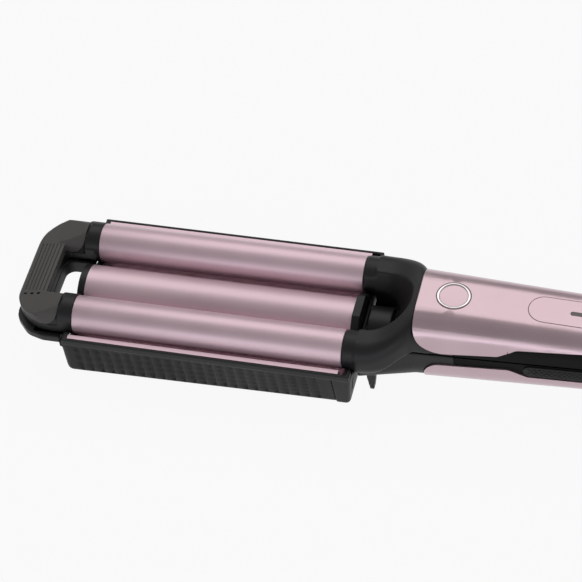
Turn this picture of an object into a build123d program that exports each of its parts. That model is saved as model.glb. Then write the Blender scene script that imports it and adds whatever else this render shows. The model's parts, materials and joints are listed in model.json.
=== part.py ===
"""Hair waver: two heated barrels close on a wave plate, on two arms hinged at the tail.

Frame: +X runs from the tip to the tail, +Z up, millimetres. The tool stands on its heat
guard and two small feet; the origin is on that surface, midway along the tool.
"""
import os
from math import cos, radians, sin, sqrt, tan

from build123d import *

os.makedirs("parts", exist_ok=True)

# ---------------------------------------------------------------- driving dimensions
# Barrels of the upper arm
barrel_radius = 9.5
barrel_wall = 2.0
barrel_length = 135.0
barrel_spacing = 48.0
barrel_height = 30.0          # barrel axes above the table

# Wave plate of the lower arm
hair_gap = 3.2                # between barrels and plate when closed
ridge_radius = 13.5
plate_thickness = 1.5
plate_width = 78.0
plate_lip_drop = 1.0          # lip's top face below the barrel axes
plate_lead = 1.0              # plate starts this far ahead of the barrels
front_cap_length = 3.6
rear_cap_length = 4.0         # over the ridge
rear_cap_foot = 2.6           # the same below the frame, ahead of the guard's end cap
rear_cap_start = -0.5         # from the barrels' rear ends
rear_cap_crown = 1.4          # rear cap's top above the ridge
rear_cap_flat = 6.6           # half width of its flat top
cap_margin = 2.0              # end caps past the troughs, sideways and below
cap_pocket_width = 19.0       # hollow behind the end caps
cap_pocket_height = 11.0
cap_pocket_round = 3.0
cap_face = 1.4

# Plate frame and its nose
rim_wall = 1.5
rim_height = 4.4
rim_proud = 0.8               # rim's top above the plate's lip
rim_front_lap = 1.8           # rim's front bar over the plate's front end
rim_lead = 2.0                # rim's front end ahead of the plate's front cap
ledge_width = 0.9             # grip on the plate's edges, above and below
frame_rear_reach = 5.3        # frame's rear end past the barrels
nose_height = 8.0
nose_edge = 3.8               # height of the nose's rim; below it the underside slopes in
nose_slope = 58.0             # degrees
nose_shoulder = 11.0          # straight stretch of the nose's sides
nose_corner = 8.5
nose_round = 9.0
nose_draw = 2.3
nose_waist = 72.6
nose_window_round = 5.0
corner_link = 1.0             # rim's corners reach this far down into the nose
sleeve_pocket_start = 12.0    # from the tip
loop_gap = 0.6                # between the two tip loops when closed
sleeve_room = 0.8             # round the sleeves, in the nose

# Tip bridge
tip_reach = 32.2              # tip of the bridge past the barrels
bridge_bar = 14.6             # bar's width along X
bridge_corner = 14.0
bridge_bar_top = 3.2          # bar's top above the barrel axes
bridge_bend = 1.4             # rise of the bar's top towards the barrels
bridge_base_depth = 4.2       # bar's underside below the barrel axes
sleeve_radius = 9.9
sleeve_length = 17.0
cover_wall = 0.7              # cover over the sleeves
cover_lap = 9.6               # cover's reach over the sleeves, from their far ends
cover_corner = 9.0            # rounds the cover's ends, seen from the side
cover_slope = 4.0             # cover comes down over this far on both sides of the sleeves' ends
cover_brow = 4.0              # rounding along the tip edge
cover_hollow = 2.0            # lowest point of the slope's curve above the bar's top
bridge_window_corner = 3.5
bar_groove_start = 3.4        # grip grooves across the bar, from the tip
bar_groove_pitch = 1.9
bar_groove_width = 0.7
bar_groove_depth = 0.4
bar_groove_half = 15.5
bar_slot_place = 17.9         # three small slots beside the grooves
bar_slot_pitch = 3.5
bar_slot_length = 1.7
bar_slot_width = 1.2
spigot_length = 9.0
spigot_clearance = 0.15

# Heat guard
guard_lap = 0.3               # guard's top edge outside the plate's
guard_lean = 5.3              # each side leans in by this much down to its floor
guard_lead = 0.65             # guard's front ahead of the plate's front cap
guard_wall = 1.8
guard_corner = 5.0
guard_end_corner = 3.5
rib_pitch = 5.2
rib_groove = 2.1
rib_depth = 0.9
rib_top_band = 1.8            # plain bands above and below the ribs
rib_foot_band = 3.0
guard_cap_length = 9.5
guard_cap_reach = 5.5         # guard cap's rear face past the barrels
guard_cap_proud = 0.5
guard_cap_lean = 3.0          # its rear face comes forward by this much down to the floor
guard_cap_corner = 2.2
vent_length = 9.0
vent_width = 2.0
vent_inset = 3.0

# Necks
neck_length = 32.3            # barrels' rear ends to the handle
neck_lap = 20.0               # necks' tongues inside the handle
neck_skin = 0.7               # black parts lie this far under the pink shells' surface
tongue_wall = 2.5
socket_length = 7.0
collar_step = 0.3              # sockets' collars inside the yoke's skin
socket_flat = 1.4              # half height of the sockets' flat sides
yoke_straight = 12.0          # from the barrels' rear ends
yoke_start_draw = 0.2
yoke_shoulder = 22.0
yoke_draw = 3.6
yoke_rise = 3.4
window_width = 28.0
window_reach = 21.0
window_round = 12.5
window_flare = 24.0           # degrees
arm_gap = 0.9                 # between the two arms when closed
arm_split = 0.1               # lower arm's top face above the barrel axes
socket_room = 0.6             # lower neck below the yoke's sockets
parting_start = 11.0          # slope between the arms starts this far past the barrels
parting_lead = 5.0            # and ends this far ahead of the handle
parting_round = 4.0
neck_front_width = 53.0
neck_front_height = 8.6
boss_radius = 12.4
boss_drop = 13.0
boss_start = 6.4
boss_length = 11.4

# Stand feet
foot_spacing = 41.0
foot_place = 11.0
foot_root = 5.4
foot_tip = 2.2
foot_width = 4.2
foot_height = 12.0

# Handle
handle_length = 150.0
handle_front_width = 45.0
handle_top = 21.2             # above the barrel axes, at the handle's front
handle_bottom = -23.6
handle_round = 15.0
handle_taper = 2.2            # degrees that each side leans in towards the tail
shell_wall = 2.2
seam = 0.15                   # between mating mouldings
upper_edge_front = 1.4        # upper shell's lower edge at the handle's front
upper_edge_recess = 4.6       # the same, where the finger recess starts
upper_edge_ramp = 9.8         # the same, behind the recess's ramp
upper_edge_rear = 11.4
upper_edge_level = 92.0       # from here on the edge runs level
upper_corner = 15.0
lower_edge_front = -6.0
lower_edge_recess = -4.4
lower_edge_rear = -8.3
lower_front_setback = 5.0
lower_corner = 8.0
recess_start = 41.0           # finger recess, from the handle's front
recess_ramp = 9.0
recess_round = 5.0
cover_wall_inner = 2.0
cover_lap_up = 1.6            # inner covers reach this far behind the shells' edges
grip_start = 53.0
grip_length = 66.0
grip_height = 6.6
grip_depth = 1.6
grip_drop = 0.9               # grip's top below the lower arm's top face

# Control panel, emblem disc and buttons
emblem_place = 16.7           # from the handle's front
emblem_radius = 8.2
emblem_rim = 1.3
emblem_dish = 0.35
emblem_thickness = 1.2
panel_start = 52.7
panel_rear_margin = 7.0       # panel's rear end ahead of the tail
panel_width = 15.4
panel_thickness = 1.5
panel_ledge = 1.4
button_radius = 4.0
button_clearance = 0.08
button_proud = 0.9
button_flange = 1.0
button_flange_height = 1.0
button_travel = 0.7
button_stem_radius = 1.6
power_button_place = 12.0     # ahead of the panel's rear end
plus_button_place = 26.0
minus_button_place = 38.0
lens_place = 50.0
lens_length = 9.0
lens_width = 2.4
board_overhang = 8.0          # board's ends past the outer buttons' middles
board_width = 15.0
board_thickness = 1.6
board_post_radius = 2.2
board_post_inset = 3.0
board_post_spacing = 8.0
button_edge = 0.5
switch_height = 2.4           # switches on the board, under the buttons' stems
switch_gap = 0.1

# Tail, hinge and lock
tail_length = 16.0
tail_corner = 3.5
tail_gap = 0.8
tail_end_wall = 3.0
tail_skin = 0.6               # tail's wall thicker than the shells'
collar_reach = 6.0
collar_wall = 1.6
open_angle = 10.0
swing_slack = 2.0             # degrees the edges behind the hinge lean beyond the opening
hinge_ahead = 7.0             # hinge axis ahead of the tail housing
pin_radius = 2.0
pin_clearance = 0.05
knuckle_radius = 4.6
knuckle_width = 9.0
knuckle_gap = 0.3
knuckle_room = 0.6
ear_width = 4.0
spring_ahead = 26.0           # spring ahead of the hinge axis
spring_radius = 4.2
spring_wire = 0.5
spring_turns = 5
spring_cup = 7.0
spring_cup_wall = 2.0
spring_cup_floor = 1.5
spring_room = 0.3
lock_place = 34.0             # lock slider ahead of the hinge axis
lock_length = 13.0
lock_width = 8.0
lock_height = 1.6
lock_stem = 5.0
lock_travel = 4.0
lock_clearance = 0.1
catch_height = 1.4
catch_inset = 1.0

# Cord gland
gland_length = 10.0
gland_radius = 6.4
gland_neck_radius = 5.0
gland_flange_radius = 6.6
gland_flange = 2.4
gland_bore = 3.2
gland_clearance = 0.08
gland_end_gap = 0.3
gland_draw = 0.6
gland_chamfer = 1.6
gland_drop = 3.0              # gland's axis below the barrel axes

# Heaters
heater_start = 14.0
heater_length = 90.0
heater_clearance = 0.1
heater_bar_height = 3.4
heater_bar_width = 10.0
saddle_height = 7.0
plate_heater_width = 15.0
plate_heater_height = 4.0
clamp_thickness = 1.2
clamp_flange = 4.0

# Screws
screw_radius = 1.4
front_screw_place = 12.0      # from the handle's front
rear_screw_place = 66.0
screw_head_radius = 2.6
screw_head_height = 1.5
screw_length = 9.0
screw_recess = 1.0            # head's face above the shell's underside
screw_column = 3.4
bridge_screw_grip = 1.8         # depth of its hole in the cover
screw_end_room = 0.5

# ---------------------------------------------------------------- places worked out
overall_length = tip_reach + barrel_length + neck_length + handle_length + gland_length
x_tip = -overall_length / 2
x_barrel = x_tip + tip_reach
x_rear = x_barrel + barrel_length
x_handle = x_rear + neck_length
x_end = x_handle + handle_length
x_tail = x_end - tail_length
x_hinge = x_tail - hinge_ahead
z_axis = barrel_height
z_split = z_axis + arm_split
z_upper = z_split + arm_gap
z_hinge = z_split + arm_gap / 2
barrel_y = barrel_spacing / 2
trough_radius = barrel_radius + hair_gap
ridge_drop = sqrt((trough_radius + ridge_radius) ** 2 - barrel_y ** 2)
x_plate = x_barrel - plate_lead
x_cap = x_rear + rear_cap_start
x_nose_rear = x_plate - front_cap_length
z_lip = z_axis - plate_lip_drop
z_rim = z_lip + rim_proud
z_guard = z_rim - rim_height
z_bridge_base = z_axis - bridge_base_depth
z_nose = z_bridge_base - loop_gap
guard_top = plate_width / 2 + guard_lap
guard_foot = guard_top - guard_lean
x_guard = x_nose_rear - guard_lead
x_guard_end = x_rear + guard_cap_reach - guard_cap_length
z_top = z_axis + handle_top
z_bottom = z_axis + handle_bottom
huge = overall_length


def lean_in(x):
    """How far the handle's sides have come in at x."""
    return (x - x_handle) * tan(radians(handle_taper))


def handle_sketch(x, inset):
    """Rounded section of the closed handle at x, shrunk by inset."""
    shrink = lean_in(x) + inset
    with BuildSketch(Plane.YZ.offset(x)) as section:
        with Locations((0, (z_top + z_bottom) / 2)):
            RectangleRounded(
                handle_front_width - 2 * shrink, z_top - z_bottom - 2 * shrink, handle_round - shrink
            )
    return section.sketch


def handle_body(x_start, x_stop, inset):
    """Stretch of the closed handle, shrunk by inset."""
    with BuildPart() as body:
        extrude(handle_sketch(x_start, inset), amount=x_stop - x_start, taper=handle_taper)
    return body.part


def side_region(points, radii, grow):
    """Closed outline in side view, grown by a clearance and run right through in Y."""
    with BuildPart() as region:
        with BuildSketch(Plane.XZ) as outline:
            with BuildLine():
                if radii:
                    FilletPolyline(*points, radius=radii, close=True)
                else:
                    Polyline(*points, close=True)
            make_face()
            if grow:
                offset(amount=grow, kind=Kind.INTERSECTION)
        extrude(amount=huge / 4, both=True)
    return region.part


def shell_rear(z, slack):
    """Rear edge of what lifts with the upper arm: leans forward by the opening angle."""
    lean = tan(radians(open_angle + swing_slack))
    return x_tail - tail_gap - slack - max(z - z_hinge, 0) * lean


def upper_region(grow):
    """Side view of the space that the upper shell takes."""
    z_back = z_axis + upper_edge_rear
    z_high = z_axis + 2 * handle_top
    points = [
        (x_handle, z_high),
        (x_handle, z_axis + upper_edge_front),
        (x_handle + recess_start, z_axis + upper_edge_recess),
        (x_handle + recess_start + recess_ramp, z_axis + upper_edge_ramp),
        (x_handle + upper_edge_level, z_back),
        (shell_rear(z_back, 0), z_back),
        (shell_rear(z_high, 0), z_high),
    ]
    radii = [0, upper_corner, recess_round, recess_round, recess_round, 0, 0]
    return side_region(points, radii, grow)


def lower_region(grow):
    """Side view of the space that the lower shell takes."""
    z_back = z_axis + lower_edge_rear
    z_low = z_axis + 2 * handle_bottom
    x_front = x_handle + lower_front_setback
    points = [
        (x_front, z_low),
        (x_front, z_axis + lower_edge_front),
        (x_handle + recess_start + recess_round, z_axis + lower_edge_recess),
        (x_handle + recess_start + recess_round + recess_ramp, z_back),
        (x_tail, z_back),
        (x_tail, z_low),
    ]
    radii = [0, lower_corner, recess_round, recess_round, 0, 0]
    return side_region(points, radii, grow)


def side_box(x_start, x_stop, z_low, z_high):
    """Block across the whole tool between two heights."""
    with BuildPart() as block:
        with BuildSketch(Plane.XZ) as outline:
            with Locations(((x_start + x_stop) / 2, (z_low + z_high) / 2)):
                Rectangle(x_stop - x_start, z_high - z_low)
        extrude(amount=huge / 4, both=True)
    return block.part


def rod(x_start, length, y, z, radius):
    """Round bar along X."""
    with BuildPart() as bar:
        with BuildSketch(Plane.YZ.offset(x_start)) as outline:
            with Locations((y, z)):
                Circle(radius)
        extrude(amount=length)
    return bar.part


def post(x, y, z_low, z_high, radius):
    """Round post along Z."""
    with BuildPart() as column:
        with BuildSketch(Plane.XY.offset(z_low)) as outline:
            with Locations((x, y)):
                Circle(radius)
        extrude(amount=z_high - z_low)
    return column.part


def cross_rod(x, z, y_start, length, radius):
    """Round bar along Y, from y_start towards +Y."""
    with BuildPart() as bar:
        with BuildSketch(Plane.XZ.offset(-y_start)) as outline:
            with Locations((x, z)):
                Circle(radius)
        extrude(amount=-length)
    return bar.part


# ---------------------------------------------------------------- wave plate
def wave_edge(step):
    """Points of the W profile's upper edge, or of a line parallel to it below by step."""
    trough = trough_radius + step
    ridge = ridge_radius - step
    span = trough_radius + ridge_radius
    lip = z_lip - step
    y_join = barrel_y - trough * barrel_y / span
    z_join = z_axis - trough * ridge_drop / span
    y_trough = barrel_y + sqrt(trough ** 2 - (plate_lip_drop + step) ** 2)
    return {
        "edge": (plate_width / 2, lip),
        "lip": (y_trough, lip),
        "trough": (barrel_y, z_axis - trough),
        "join": (y_join, z_join),
        "ridge": (0, z_axis - ridge_drop + ridge),
    }


def other_side(point):
    return (-point[0], point[1])


def draw_wave(step):
    """Draw the W line from the +Y lip to the -Y lip."""
    p = wave_edge(step)
    q = {name: other_side(point) for name, point in p.items()}
    Line(p["edge"], p["lip"])
    ThreePointArc(p["lip"], p["trough"], p["join"])
    ThreePointArc(p["join"], p["ridge"], q["join"])
    ThreePointArc(q["join"], q["trough"], q["lip"])
    Line(q["lip"], q["edge"])


with BuildPart() as wave_plate:
    with BuildSketch(Plane.YZ.offset(x_plate)) as profile:
        with BuildLine() as outline:
            draw_wave(0)
            draw_wave(plate_thickness)
            upper, lower = wave_edge(0)["edge"], wave_edge(plate_thickness)["edge"]
            Line(upper, lower)
            Line(other_side(upper), other_side(lower))
        make_face()
    extrude(amount=x_cap - x_plate)
wave_plate.part.label = "wave_plate"

# End caps close the plate's hollow underside and carry its ends
cap_half_width = barrel_y + trough_radius - cap_margin
cap_bottom = z_axis - trough_radius - plate_thickness - cap_margin

with BuildPart() as plate_front_cap:
    with BuildSketch(Plane.YZ.offset(x_nose_rear)) as profile:
        with BuildLine() as outline:
            p = wave_edge(0)
            side = (cap_half_width, z_axis - sqrt(trough_radius ** 2 - (cap_half_width - barrel_y) ** 2))
            foot = (cap_half_width, cap_bottom)
            ThreePointArc(side, p["trough"], p["join"])
            ThreePointArc(p["join"], p["ridge"], other_side(p["join"]))
            ThreePointArc(other_side(p["join"]), other_side(p["trough"]), other_side(side))
            Polyline(side, foot, other_side(foot), other_side(side))
        make_face()
    extrude(amount=front_cap_length)
    # Hollow behind its face, so that it stays a thin-walled moulding
    with BuildSketch(Plane.YZ.offset(x_plate)) as pocket:
        with Locations((0, z_axis - ridge_drop - 1)):
            RectangleRounded(cap_pocket_width, cap_pocket_height, cap_pocket_round)
    extrude(amount=-front_cap_length + cap_face, mode=Mode.SUBTRACT)
plate_front_cap.part.label = "plate_front_cap"

with BuildPart() as plate_rear_cap:
    z_crest = z_axis - ridge_drop + ridge_radius + rear_cap_crown
    z_brow = p["join"][1] + (z_crest - p["join"][1]) / 2
    with BuildSketch(Plane.YZ.offset(x_cap)) as profile:
        with BuildLine() as outline:
            p = wave_edge(0)
            side = (cap_half_width, z_axis - sqrt(trough_radius ** 2 - (cap_half_width - barrel_y) ** 2))
            foot = (cap_half_width, cap_bottom)
            ThreePointArc(side, p["trough"], p["join"])
            Polyline(
                p["join"],
                (p["join"][0], z_brow),
                (rear_cap_flat, z_crest),
                (-rear_cap_flat, z_crest),
                (-p["join"][0], z_brow),
                other_side(p["join"]),
            )
            ThreePointArc(other_side(p["join"]), other_side(p["trough"]), other_side(side))
            Polyline(side, foot, other_side(foot), other_side(side))
        make_face()
    extrude(amount=rear_cap_length)
    add(side_box(x_cap + rear_cap_foot, x_rear + 2 * rear_cap_length, 0, z_guard + seam), mode=Mode.SUBTRACT)
    with BuildSketch(Plane.YZ.offset(x_cap)) as pocket:
        with Locations((0, z_axis - ridge_drop - 1)):
            RectangleRounded(cap_pocket_width, cap_pocket_height, cap_pocket_round)
    extrude(amount=rear_cap_foot / 2, mode=Mode.SUBTRACT)
plate_rear_cap.part.label = "plate_rear_cap"

# ---------------------------------------------------------------- plate frame with nose loop
rim_half = plate_width / 2 + seam + rim_wall
x_frame_rear = x_rear + frame_rear_reach
nose_tip = x_tip + loop_gap
socket_pocket = sleeve_radius + sleeve_room
window_half = barrel_y - socket_pocket - 2 * seam
x_window = x_tip + bridge_bar

with BuildPart() as plate_frame:
    # Rim round the plate, slotted for the plate's edges
    x_rim = x_nose_rear - rim_lead
    with BuildSketch(Plane.XY.offset(z_guard)) as ring:
        with BuildLine() as outline:
            FilletPolyline(
                (x_rim, -rim_half),
                (x_frame_rear, -rim_half),
                (x_frame_rear, rim_half),
                (x_rim, rim_half),
                radius=[rim_wall, 0, 0, rim_wall],
                close=True,
            )
        make_face()
    extrude(amount=rim_height)
    x_seat, x_seat_end = x_plate - seam, x_frame_rear - rim_wall
    with BuildSketch(Plane.XY.offset(z_lip - plate_thickness)) as seat:
        with Locations(((x_seat + x_seat_end) / 2, 0)):
            Rectangle(x_seat_end - x_seat, plate_width + 2 * seam)
    extrude(amount=plate_thickness + seam, mode=Mode.SUBTRACT)
    z_slot = z_lip + seam
    for x_open, z_low, z_high in ((x_seat, z_guard, z_slot), (x_plate + rim_front_lap, z_slot, z_rim)):
        with BuildSketch(Plane.XY.offset(z_low)) as opening:
            with Locations(((x_open + x_seat_end) / 2, 0)):
                Rectangle(x_seat_end - x_open, plate_width - 2 * ledge_width)
        extrude(amount=z_high - z_low, mode=Mode.SUBTRACT)
    with BuildSketch(Plane.XY.offset(z_guard)) as cap_opening:
        with Locations((x_plate, 0)):
            Rectangle(2 * (x_plate - x_rim), 2 * cap_half_width + 2 * seam)
    extrude(amount=rim_height, mode=Mode.SUBTRACT)
    # The rear bar stops short of the yoke's sockets
    socket_room_half = barrel_y + sleeve_radius + 2 * sleeve_room
    with BuildSketch(Plane.XY.offset(z_guard)) as rear_opening:
        with Locations((x_frame_rear, 0)):
            Rectangle(2 * rear_cap_length, 2 * socket_room_half)
    extrude(amount=rim_height, mode=Mode.SUBTRACT)
    # Nose: a tray under the tip bridge, its underside sloping in from a thin rim
    z_nose_floor = z_nose - nose_height
    z_nose_edge = z_nose - nose_edge
    waist = nose_waist / 2
    with BuildSketch(Plane.XY.offset(z_nose_edge)) as nose:
        with BuildLine() as outline:
            FilletPolyline(
                (x_nose_rear, -waist),
                (x_nose_rear - nose_shoulder, -waist),
                (x_tip + nose_corner, -waist + nose_draw),
                (nose_tip, -waist + nose_draw + nose_corner),
                (nose_tip, waist - nose_draw - nose_corner),
                (x_tip + nose_corner, waist - nose_draw),
                (x_nose_rear - nose_shoulder, waist),
                (x_nose_rear, waist),
                radius=[0] + 6 * [nose_round] + [0],
                close=True,
            )
        make_face()
    extrude(amount=nose_edge)
    extrude(nose.sketch, amount=-(nose_height - nose_edge), taper=nose_slope)
    # The part below the rim stops at the guard's front wall
    with BuildSketch(Plane.XY.offset(z_nose_floor)) as guard_space:
        with Locations((x_guard - seam + nose_height / 2, 0)):
            Rectangle(nose_height, 2 * rim_half)
    extrude(amount=nose_height - nose_edge, mode=Mode.SUBTRACT)
    # Links join the nose's sides to the rim's front corners
    with BuildSketch(Plane.XY.offset(z_nose - corner_link)) as links:
        for side in (-1, 1):
            with Locations(((x_rim + x_guard - seam) / 2, side * (waist + cap_half_width - seam) / 2)):
                Rectangle(x_guard - seam - x_rim, waist - cap_half_width + 4 * corner_link)
    extrude(amount=z_rim - z_nose + corner_link)
    # Pockets for the sleeves, and the loop's window
    for side in (-1, 1):
        add(
            rod(x_tip + sleeve_pocket_start, tip_reach, side * barrel_y, z_axis, socket_pocket),
            mode=Mode.SUBTRACT,
        )
    with BuildSketch(Plane.XY.offset(z_nose_floor)) as window:
        with BuildLine() as outline:
            FilletPolyline(
                (x_nose_rear + 2, -window_half),
                (x_window, -window_half),
                (x_window, window_half),
                (x_nose_rear + 2, window_half),
                radius=[0, nose_window_round, nose_window_round, 0],
                close=True,
            )
        make_face()
    extrude(amount=nose_height, mode=Mode.SUBTRACT)
plate_frame.part.label = "plate_frame"


# ---------------------------------------------------------------- heat guard
def guard_sketch(x, inset):
    """Section of the guard's tub: sides lean in towards its floor."""
    top, foot = guard_top - inset, guard_foot - inset
    with BuildSketch(Plane.YZ.offset(x)) as section:
        with BuildLine() as outline:
            FilletPolyline(
                (top, z_guard),
                (foot, inset),
                (-foot, inset),
                (-top, z_guard),
                radius=[0, guard_corner - inset, guard_corner - inset, 0],
                close=True,
            )
        make_face()
    return section.sketch


def guard_slice(x, length, inset):
    with BuildPart() as piece:
        extrude(guard_sketch(x, inset), amount=length)
    return piece.part


guard_length = x_guard_end - x_guard
rib_count = int((guard_length - 2 * guard_end_corner) // rib_pitch)
rib_first = x_guard + (guard_length - (rib_count - 1) * rib_pitch) / 2

groove_cutter = (
    guard_slice(0, rib_groove, -1.0)
    - guard_slice(0, rib_groove, rib_depth)
    - side_box(-rib_groove, 2 * rib_groove, z_guard - rib_top_band, z_guard + 1)
    - side_box(-rib_groove, 2 * rib_groove, -2 * rib_depth - rib_foot_band, rib_foot_band)
)

with BuildPart() as heat_guard:
    add(guard_slice(x_guard, guard_length, 0))
    fillet(heat_guard.faces().sort_by(Axis.X)[0].edges().sort_by(Axis.Z)[:-1], guard_end_corner)
    add(guard_slice(x_guard + guard_wall, guard_length, guard_wall), mode=Mode.SUBTRACT)
    # The front wall steps down round the plate's front cap
    with BuildSketch(Plane.YZ.offset(x_guard)) as step:
        with Locations((0, cap_bottom - seam + barrel_height / 2)):
            Rectangle(2 * cap_half_width + 2 * seam, barrel_height)
    extrude(amount=2 * guard_wall, mode=Mode.SUBTRACT)
    # Under the nose's rim its top edge is lower
    with BuildSketch(Plane.YZ.offset(x_guard - seam)) as under_nose:
        with Locations((0, z_nose_edge - seam + nose_edge)):
            Rectangle(4 * rim_half, 2 * nose_edge)
    extrude(amount=guard_lead + 2 * seam, mode=Mode.SUBTRACT)
    for rib in range(rib_count):
        place = Location((rib_first + rib * rib_pitch - rib_groove / 2, 0, 0))
        add(groove_cutter.moved(place), mode=Mode.SUBTRACT)
heat_guard.part.label = "heat_guard"

with BuildPart() as guard_end_cap:
    add(guard_slice(x_guard_end + seam, guard_cap_length - seam, -guard_cap_proud))
    split(bisect_by=Plane.XY, keep=Keep.TOP)
    # Its rear face leans forward towards the floor
    x_cap_rear = x_rear + guard_cap_reach
    x_past = x_cap_rear + 1
    lean = [(x_cap_rear - guard_cap_lean, 0), (x_cap_rear, z_guard), (x_past, z_guard), (x_past, 0)]
    add(side_region(lean, 0, 0), mode=Mode.SUBTRACT)
    fillet(guard_end_cap.faces().sort_by(Axis.X)[-1].edges().sort_by(Axis.Z)[:-1], guard_cap_corner)
    hollow = guard_slice(x_guard_end, guard_cap_length, guard_wall)
    inner_lean = [(x - guard_wall, z) for x, z in lean[:2]] + lean[2:]
    add(hollow - side_region(inner_lean, 0, 0), mode=Mode.SUBTRACT)
    # Room for the yoke's sockets
    for side in (-1, 1):
        add(
            rod(x_guard_end - 1, 2 * guard_cap_length, side * barrel_y, z_axis, socket_pocket),
            mode=Mode.SUBTRACT,
        )
    # Vent slot in the end face, beside the neck
    for side in (-1, 1):
        with BuildSketch(Plane.YZ.offset(x_cap_rear)) as slot:
            with Locations((side * (guard_foot - vent_inset), z_guard / 2)):
                SlotOverall(vent_length, vent_width, rotation=90)
        extrude(amount=-guard_cap_lean - guard_wall, mode=Mode.SUBTRACT)
guard_end_cap.part.label = "guard_end_cap"

# ---------------------------------------------------------------- plate heater
ridge_bore = ridge_radius - plate_thickness
z_saddle = z_axis - ridge_drop + ridge_bore - heater_clearance - saddle_height
x_heater = x_barrel + heater_start

with BuildPart() as plate_heater_saddle:
    add(rod(x_heater, heater_length, 0, z_axis - ridge_drop, ridge_bore - heater_clearance))
    add(side_box(x_tip, x_rear, 0, z_saddle), mode=Mode.SUBTRACT)
plate_heater_saddle.part.label = "plate_heater_saddle"

with BuildPart() as plate_heater:
    with BuildSketch(Plane.XY.offset(z_saddle - plate_heater_height)) as outline:
        with Locations((x_heater + heater_length / 2, 0)):
            Rectangle(heater_length - 2 * clamp_flange, plate_heater_width)
    extrude(amount=plate_heater_height)
plate_heater.part.label = "plate_heater"

with BuildPart() as heater_clamp:
    with BuildSketch(Plane.YZ.offset(x_heater + heater_length / 3)) as channel:
        inner, low = plate_heater_width / 2, z_saddle - plate_heater_height
        with BuildLine() as outline:
            Polyline(
                (inner, z_saddle),
                (inner, low),
                (-inner, low),
                (-inner, z_saddle),
                (-inner - clamp_thickness, z_saddle),
                (-inner - clamp_thickness, low - clamp_thickness),
                (inner + clamp_thickness, low - clamp_thickness),
                (inner + clamp_thickness, z_saddle),
                close=True,
            )
        make_face()
    extrude(amount=heater_length / 3)
heater_clamp.part.label = "heater_clamp"

# ---------------------------------------------------------------- barrels and their heaters
barrel_bore = barrel_radius - barrel_wall
for name, side in (("left", 1), ("right", -1)):
    y = side * barrel_y
    with BuildPart() as barrel:
        add(rod(x_barrel, barrel_length, y, z_axis, barrel_radius))
        add(rod(x_barrel, barrel_length, y, z_axis, barrel_bore), mode=Mode.SUBTRACT)
    barrel.part.label = name + "_barrel"
    export_step(barrel.part, "parts/" + name + "_barrel.step")

    with BuildPart() as blocks:
        add(rod(x_heater, heater_length, y, z_axis, barrel_bore - heater_clearance))
        slit = heater_bar_height / 2
        add(side_box(x_tip, x_rear, z_axis - slit, z_axis + slit), mode=Mode.SUBTRACT)
    blocks.part.label = name + "_heater_blocks"
    export_step(blocks.part, "parts/" + name + "_heater_blocks.step")

    with BuildPart() as heater:
        with Locations((x_heater + heater_length / 2, y, z_axis)):
            Box(heater_length - 2 * clamp_flange, heater_bar_width, heater_bar_height)
    heater.part.label = name + "_heater"
    export_step(heater.part, "parts/" + name + "_heater.step")


# ---------------------------------------------------------------- tip bridge
def bridge_plan(z, height):
    """Loop that ties the barrels' tips: a C in plan, open towards the barrels."""
    outer = barrel_y + sleeve_radius + cover_wall
    inner = barrel_y - sleeve_radius - cover_wall
    x_ends = x_barrel - sleeve_length + cover_lap
    with BuildPart() as plan:
        with BuildSketch(Plane.XY.offset(z)) as outline:
            with BuildLine() as loop:
                FilletPolyline(
                    (x_ends, -outer),
                    (x_tip, -outer),
                    (x_tip, outer),
                    (x_ends, outer),
                    (x_ends, inner),
                    (x_tip + bridge_bar, inner),
                    (x_tip + bridge_bar, -inner),
                    (x_ends, -inner),
                    radius=[0] + 2 * [bridge_corner] + [0, 0] + 2 * [bridge_window_corner] + [0],
                    close=True,
                )
            make_face()
        extrude(amount=height)
    return plan.part


sleeves = [
    rod(x_barrel - sleeve_length, sleeve_length, side * barrel_y, z_axis, sleeve_radius)
    for side in (-1, 1)
]
spigots = [
    rod(x_barrel, spigot_length, side * barrel_y, z_axis, barrel_bore - spigot_clearance)
    for side in (-1, 1)
]
x_sleeve_end = x_barrel - sleeve_length
screw_x = x_tip + bridge_bar / 2

with BuildPart() as tip_bridge_frame:
    add(bridge_plan(z_bridge_base, bridge_base_depth))
    for sleeve in sleeves:
        add(sleeve)
    for spigot in spigots:
        add(spigot)
    with BuildSketch(Plane.XY.offset(z_bridge_base)) as holes:
        with Locations((screw_x, -barrel_y / 2), (screw_x, barrel_y / 2)):
            Circle(screw_radius)
    extrude(amount=bridge_base_depth, mode=Mode.SUBTRACT)
    with BuildSketch(Plane.XY.offset(z_bridge_base)) as seats:
        with Locations((screw_x, -barrel_y / 2), (screw_x, barrel_y / 2)):
            Circle(screw_head_radius + seam)
    extrude(amount=screw_head_height, mode=Mode.SUBTRACT)
tip_bridge_frame.part.label = "tip_bridge_frame"

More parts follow.
